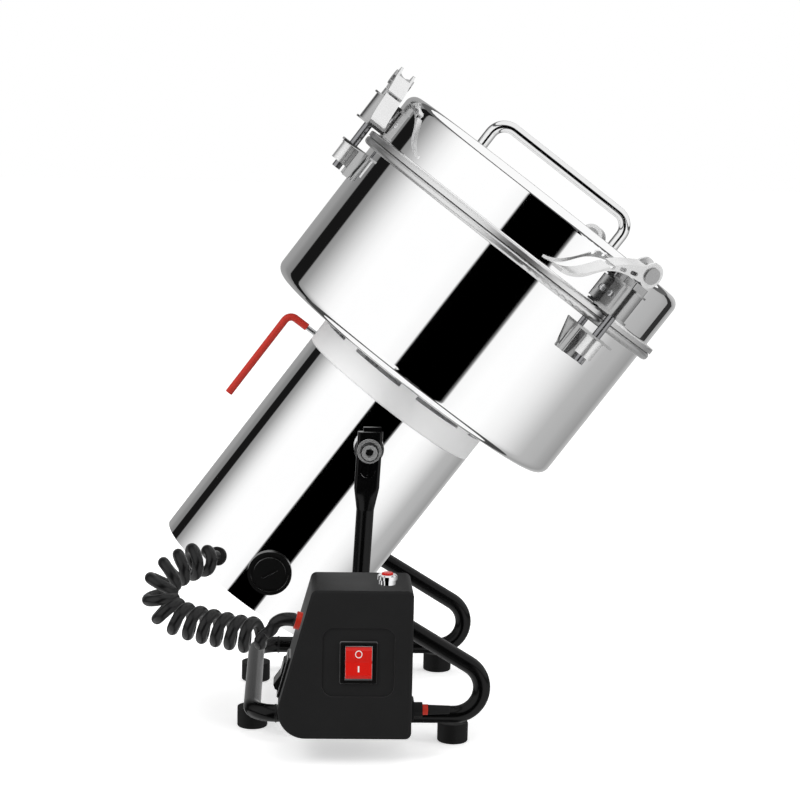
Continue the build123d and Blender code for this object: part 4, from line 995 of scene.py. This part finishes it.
# %% Build the room
stage_white = 1.0
soft_light = 0.55
bpy.context.scene.view_settings.view_transform = "Standard"
world = bpy.data.worlds.new("studio")
bpy.context.scene.world = world
world.use_nodes = True
room = world.node_tree
room.nodes.clear()


def white_background(strength):
    """A white background of a given strength, as its output socket."""
    made = room.nodes.new("ShaderNodeBackground")
    made.inputs["Color"].default_value = white
    made.inputs["Strength"].default_value = strength
    return made.outputs["Background"]


def larger(first, second):
    """The larger of two sockets' values."""
    made = room.nodes.new("ShaderNodeMath")
    made.operation = "MAXIMUM"
    room.links.new(first, made.inputs[0])
    room.links.new(second, made.inputs[1])
    return made.outputs[0]


rays = room.nodes.new("ShaderNodeLightPath").outputs
seen = larger(larger(rays["Is Camera Ray"], rays["Is Glossy Ray"]), rays["Is Transmission Ray"])
choice = room.nodes.new("ShaderNodeMixShader")
output = room.nodes.new("ShaderNodeOutputWorld")
room.links.new(seen, choice.inputs["Fac"])
room.links.new(white_background(soft_light), choice.inputs[1])
room.links.new(white_background(stage_white), choice.inputs[2])
room.links.new(choice.outputs["Shader"], output.inputs["Surface"])
print("room of", len(room.nodes), "nodes")

# %% Lay the floor
floor_width = 14
floor_glow = 0.5


def floor_finish():
    """Pale paper that glows a little, but only to the camera, so that it meets the room's white."""
    shade = Shade("pale_floor", Roughness=0.9, Specular_IOR_Level=0.0, Emission_Strength=floor_glow)
    tone = shade.noise(shade.place(), scale=3.0, detail=2.0)
    base = shade.blend(tone, colour(grey(0.93)), colour(grey(0.95)))
    camera_ray = shade.node("ShaderNodeLightPath", {}, {}, "Is Camera Ray")
    return shade.feed(Base_Color=base, Emission_Color=shade.blend(camera_ray, black, white))


pick()
bpy.ops.mesh.primitive_plane_add(size=floor_width, location=(0, 0, 0))
floor = bpy.context.object
floor.name = "floor"
floor.data.materials.append(floor_finish())
floor.visible_glossy = False
print("floor", floor_width, "m wide")


# %% Hang the curtain
curtain_stops = [
    (-180, 0.36), (-150, 0.31), (-142, 0.24), (-133, 0.21), (-132.5, 0.008), (-116, 0.008),
    (-115.5, 0.27), (-110, 0.32), (-102, 0.49), (-94, 0.67), (-86, 0.84), (-78, 0.95), (-70, 1.0),
    (-30, 1.0), (-18, 0.93), (-17.5, 0.0), (21, 0.0), (21.5, 0.93), (34, 1.0), (50, 1.0), (58, 0.94),
    (66, 0.88), (74, 0.79), (82, 0.68), (90, 0.56), (98, 0.46), (114, 0.43), (122, 0.38), (138, 0.31),
    (146, 0.4), (154, 0.5), (180, 0.62),
]
curtain_glow = 1.04
curtain_radius = 2.0
curtain_low = -1.6
curtain_high = 1.0
upper_hem = 0.4
upper_hem_grey = 0.12
lower_hem = 0.9
lower_hem_grey = 0.06


def glowing(name, strength):
    """A black cloth that only glows."""
    return Shade(
        name, Base_Color=black, Roughness=1.0, Specular_IOR_Level=0.0, Emission_Strength=strength
    )


def around_body():
    """Glow of the curtain's cloth, as a grey that follows the azimuth round the body's axis."""
    shade = glowing("curtain_cloth", curtain_glow)
    where = shade.node("ShaderNodeTexCoord", {}, {}, "Object")
    across, behind, _ = shade.split(where)
    azimuth = across.maths("ARCTAN2", across, behind * -1.0)
    stops = [(degrees / 360 + 0.5, bright) for degrees, bright in curtain_stops]
    return shade.feed(Emission_Color=shade.ramp(azimuth / (2 * math.pi) + 0.5, stops))


def plain_glow(name, brightness):
    shade = glowing(name, 1.0)
    shade.shader.inputs["Emission Color"].default_value = colour(grey(brightness))
    return shade.material


def only_in_reflections(cloth, finish):
    cloth.data.materials.append(finish)
    cloth.visible_camera = False
    cloth.visible_diffuse = False
    cloth.visible_shadow = False
    cloth.visible_transmission = False


def hang(name, low, high, finish):
    """A round cloth about the body's axis between two heights, which only reflections show."""
    pick()
    bpy.ops.mesh.primitive_cylinder_add(
        vertices=180,
        radius=curtain_radius,
        depth=high - low,
        end_fill_type="NOTHING",
        location=pivot + body_up * (low + high) / 2,
        rotation=(0, lean, 0),
    )
    bpy.context.object.name = name
    only_in_reflections(bpy.context.object, finish)


hang("curtain", curtain_low, curtain_high, around_body())
hang("upper_hem", curtain_high, curtain_high + upper_hem, plain_glow("upper_hem_cloth", upper_hem_grey))
hang("lower_hem", curtain_low - lower_hem, curtain_low, plain_glow("lower_hem_cloth", lower_hem_grey))
print("curtain of", len(curtain_stops), "stops")

# %% [markdown]
# ### A strip for the lid alone
# A narrow black strip stands just inside the curtain, at the right and above the level of the
# bowl's rim, so that it draws a dark line down the lid's right edge and none on the bowl.

# %% Stand the strip
strip_azimuth = math.radians(134)
strip_low = 0.17
strip_width = 0.42
strip_inside = 0.05
strip_grey = 0.03
strip_way = body_side * math.sin(strip_azimuth) + front_way * math.cos(strip_azimuth)
strip_middle = body_up * (strip_low + curtain_high) / 2
pick()
bpy.ops.mesh.primitive_plane_add(
    size=1,
    location=pivot + strip_way * (curtain_radius - strip_inside) + strip_middle,
    rotation=facing(-strip_way, body_up).to_euler(),
)
lid_strip = bpy.context.object
lid_strip.name = "lid_strip"
lid_strip.scale = (strip_width, curtain_high - strip_low, 1)
only_in_reflections(lid_strip, plain_glow("lid_strip_cloth", strip_grey))
print("strip from", strip_low, "to", curtain_high, "m up the body's axis")

# %% [markdown]
# ### Soft lamps
# Three area lamps shape what isn't a mirror: the box, the paint, the cord and the collar. They
# don't show in reflections, where the curtain does that work.

# %% Light the room
lit_middle = Vector((0.0, 0.0, 0.24))


def softbox(name, place, size, power):
    """An area lamp that looks at the middle of the mill."""
    bpy.ops.object.light_add(type="AREA", location=place)
    lamp = bpy.context.object
    lamp.name = name
    lamp.data.shape = "RECTANGLE"
    lamp.data.size, lamp.data.size_y = size
    lamp.data.energy = power
    lamp.rotation_euler = (lit_middle - Vector(place)).to_track_quat("-Z", "Y").to_euler()
    lamp.visible_glossy = False


softbox("key", place=(-1.3, -1.5, 1.9), size=(1.1, 1.1), power=20)
softbox("top", place=(0.3, 0.2, 2.2), size=(1.6, 1.6), power=16)
softbox("right", place=(1.9, -0.6, 0.9), size=(0.6, 1.4), power=9)

# %% [markdown]
# ### What the mirrors may show
# The steel shows the curtain and its own bright neighbours. The black box, the cord, the switches
# and the stand stay out of it, which keeps the bands clean.

# %% Keep the stand and the box out of the mirror
shown_in_steel = [
    "bowl",
    "lid",
    "lid_handle",
    "collar",
    "motor_housing",
    "pivot_bosses",
    "latch_upper_brackets",
    "latch_lower_brackets",
    "latch_rods",
    "latch_nuts",
    "latch_barrels",
    "latch_lever_1",
    "latch_lever_2",
    "latch_lever_3",
]
for name, node in nodes.items():
    node.visible_glossy = name in shown_in_steel
for piece in (curly_cord, off_ring, on_bar):
    piece.visible_glossy = False
print(len(shown_in_steel), "nodes show in the steel")
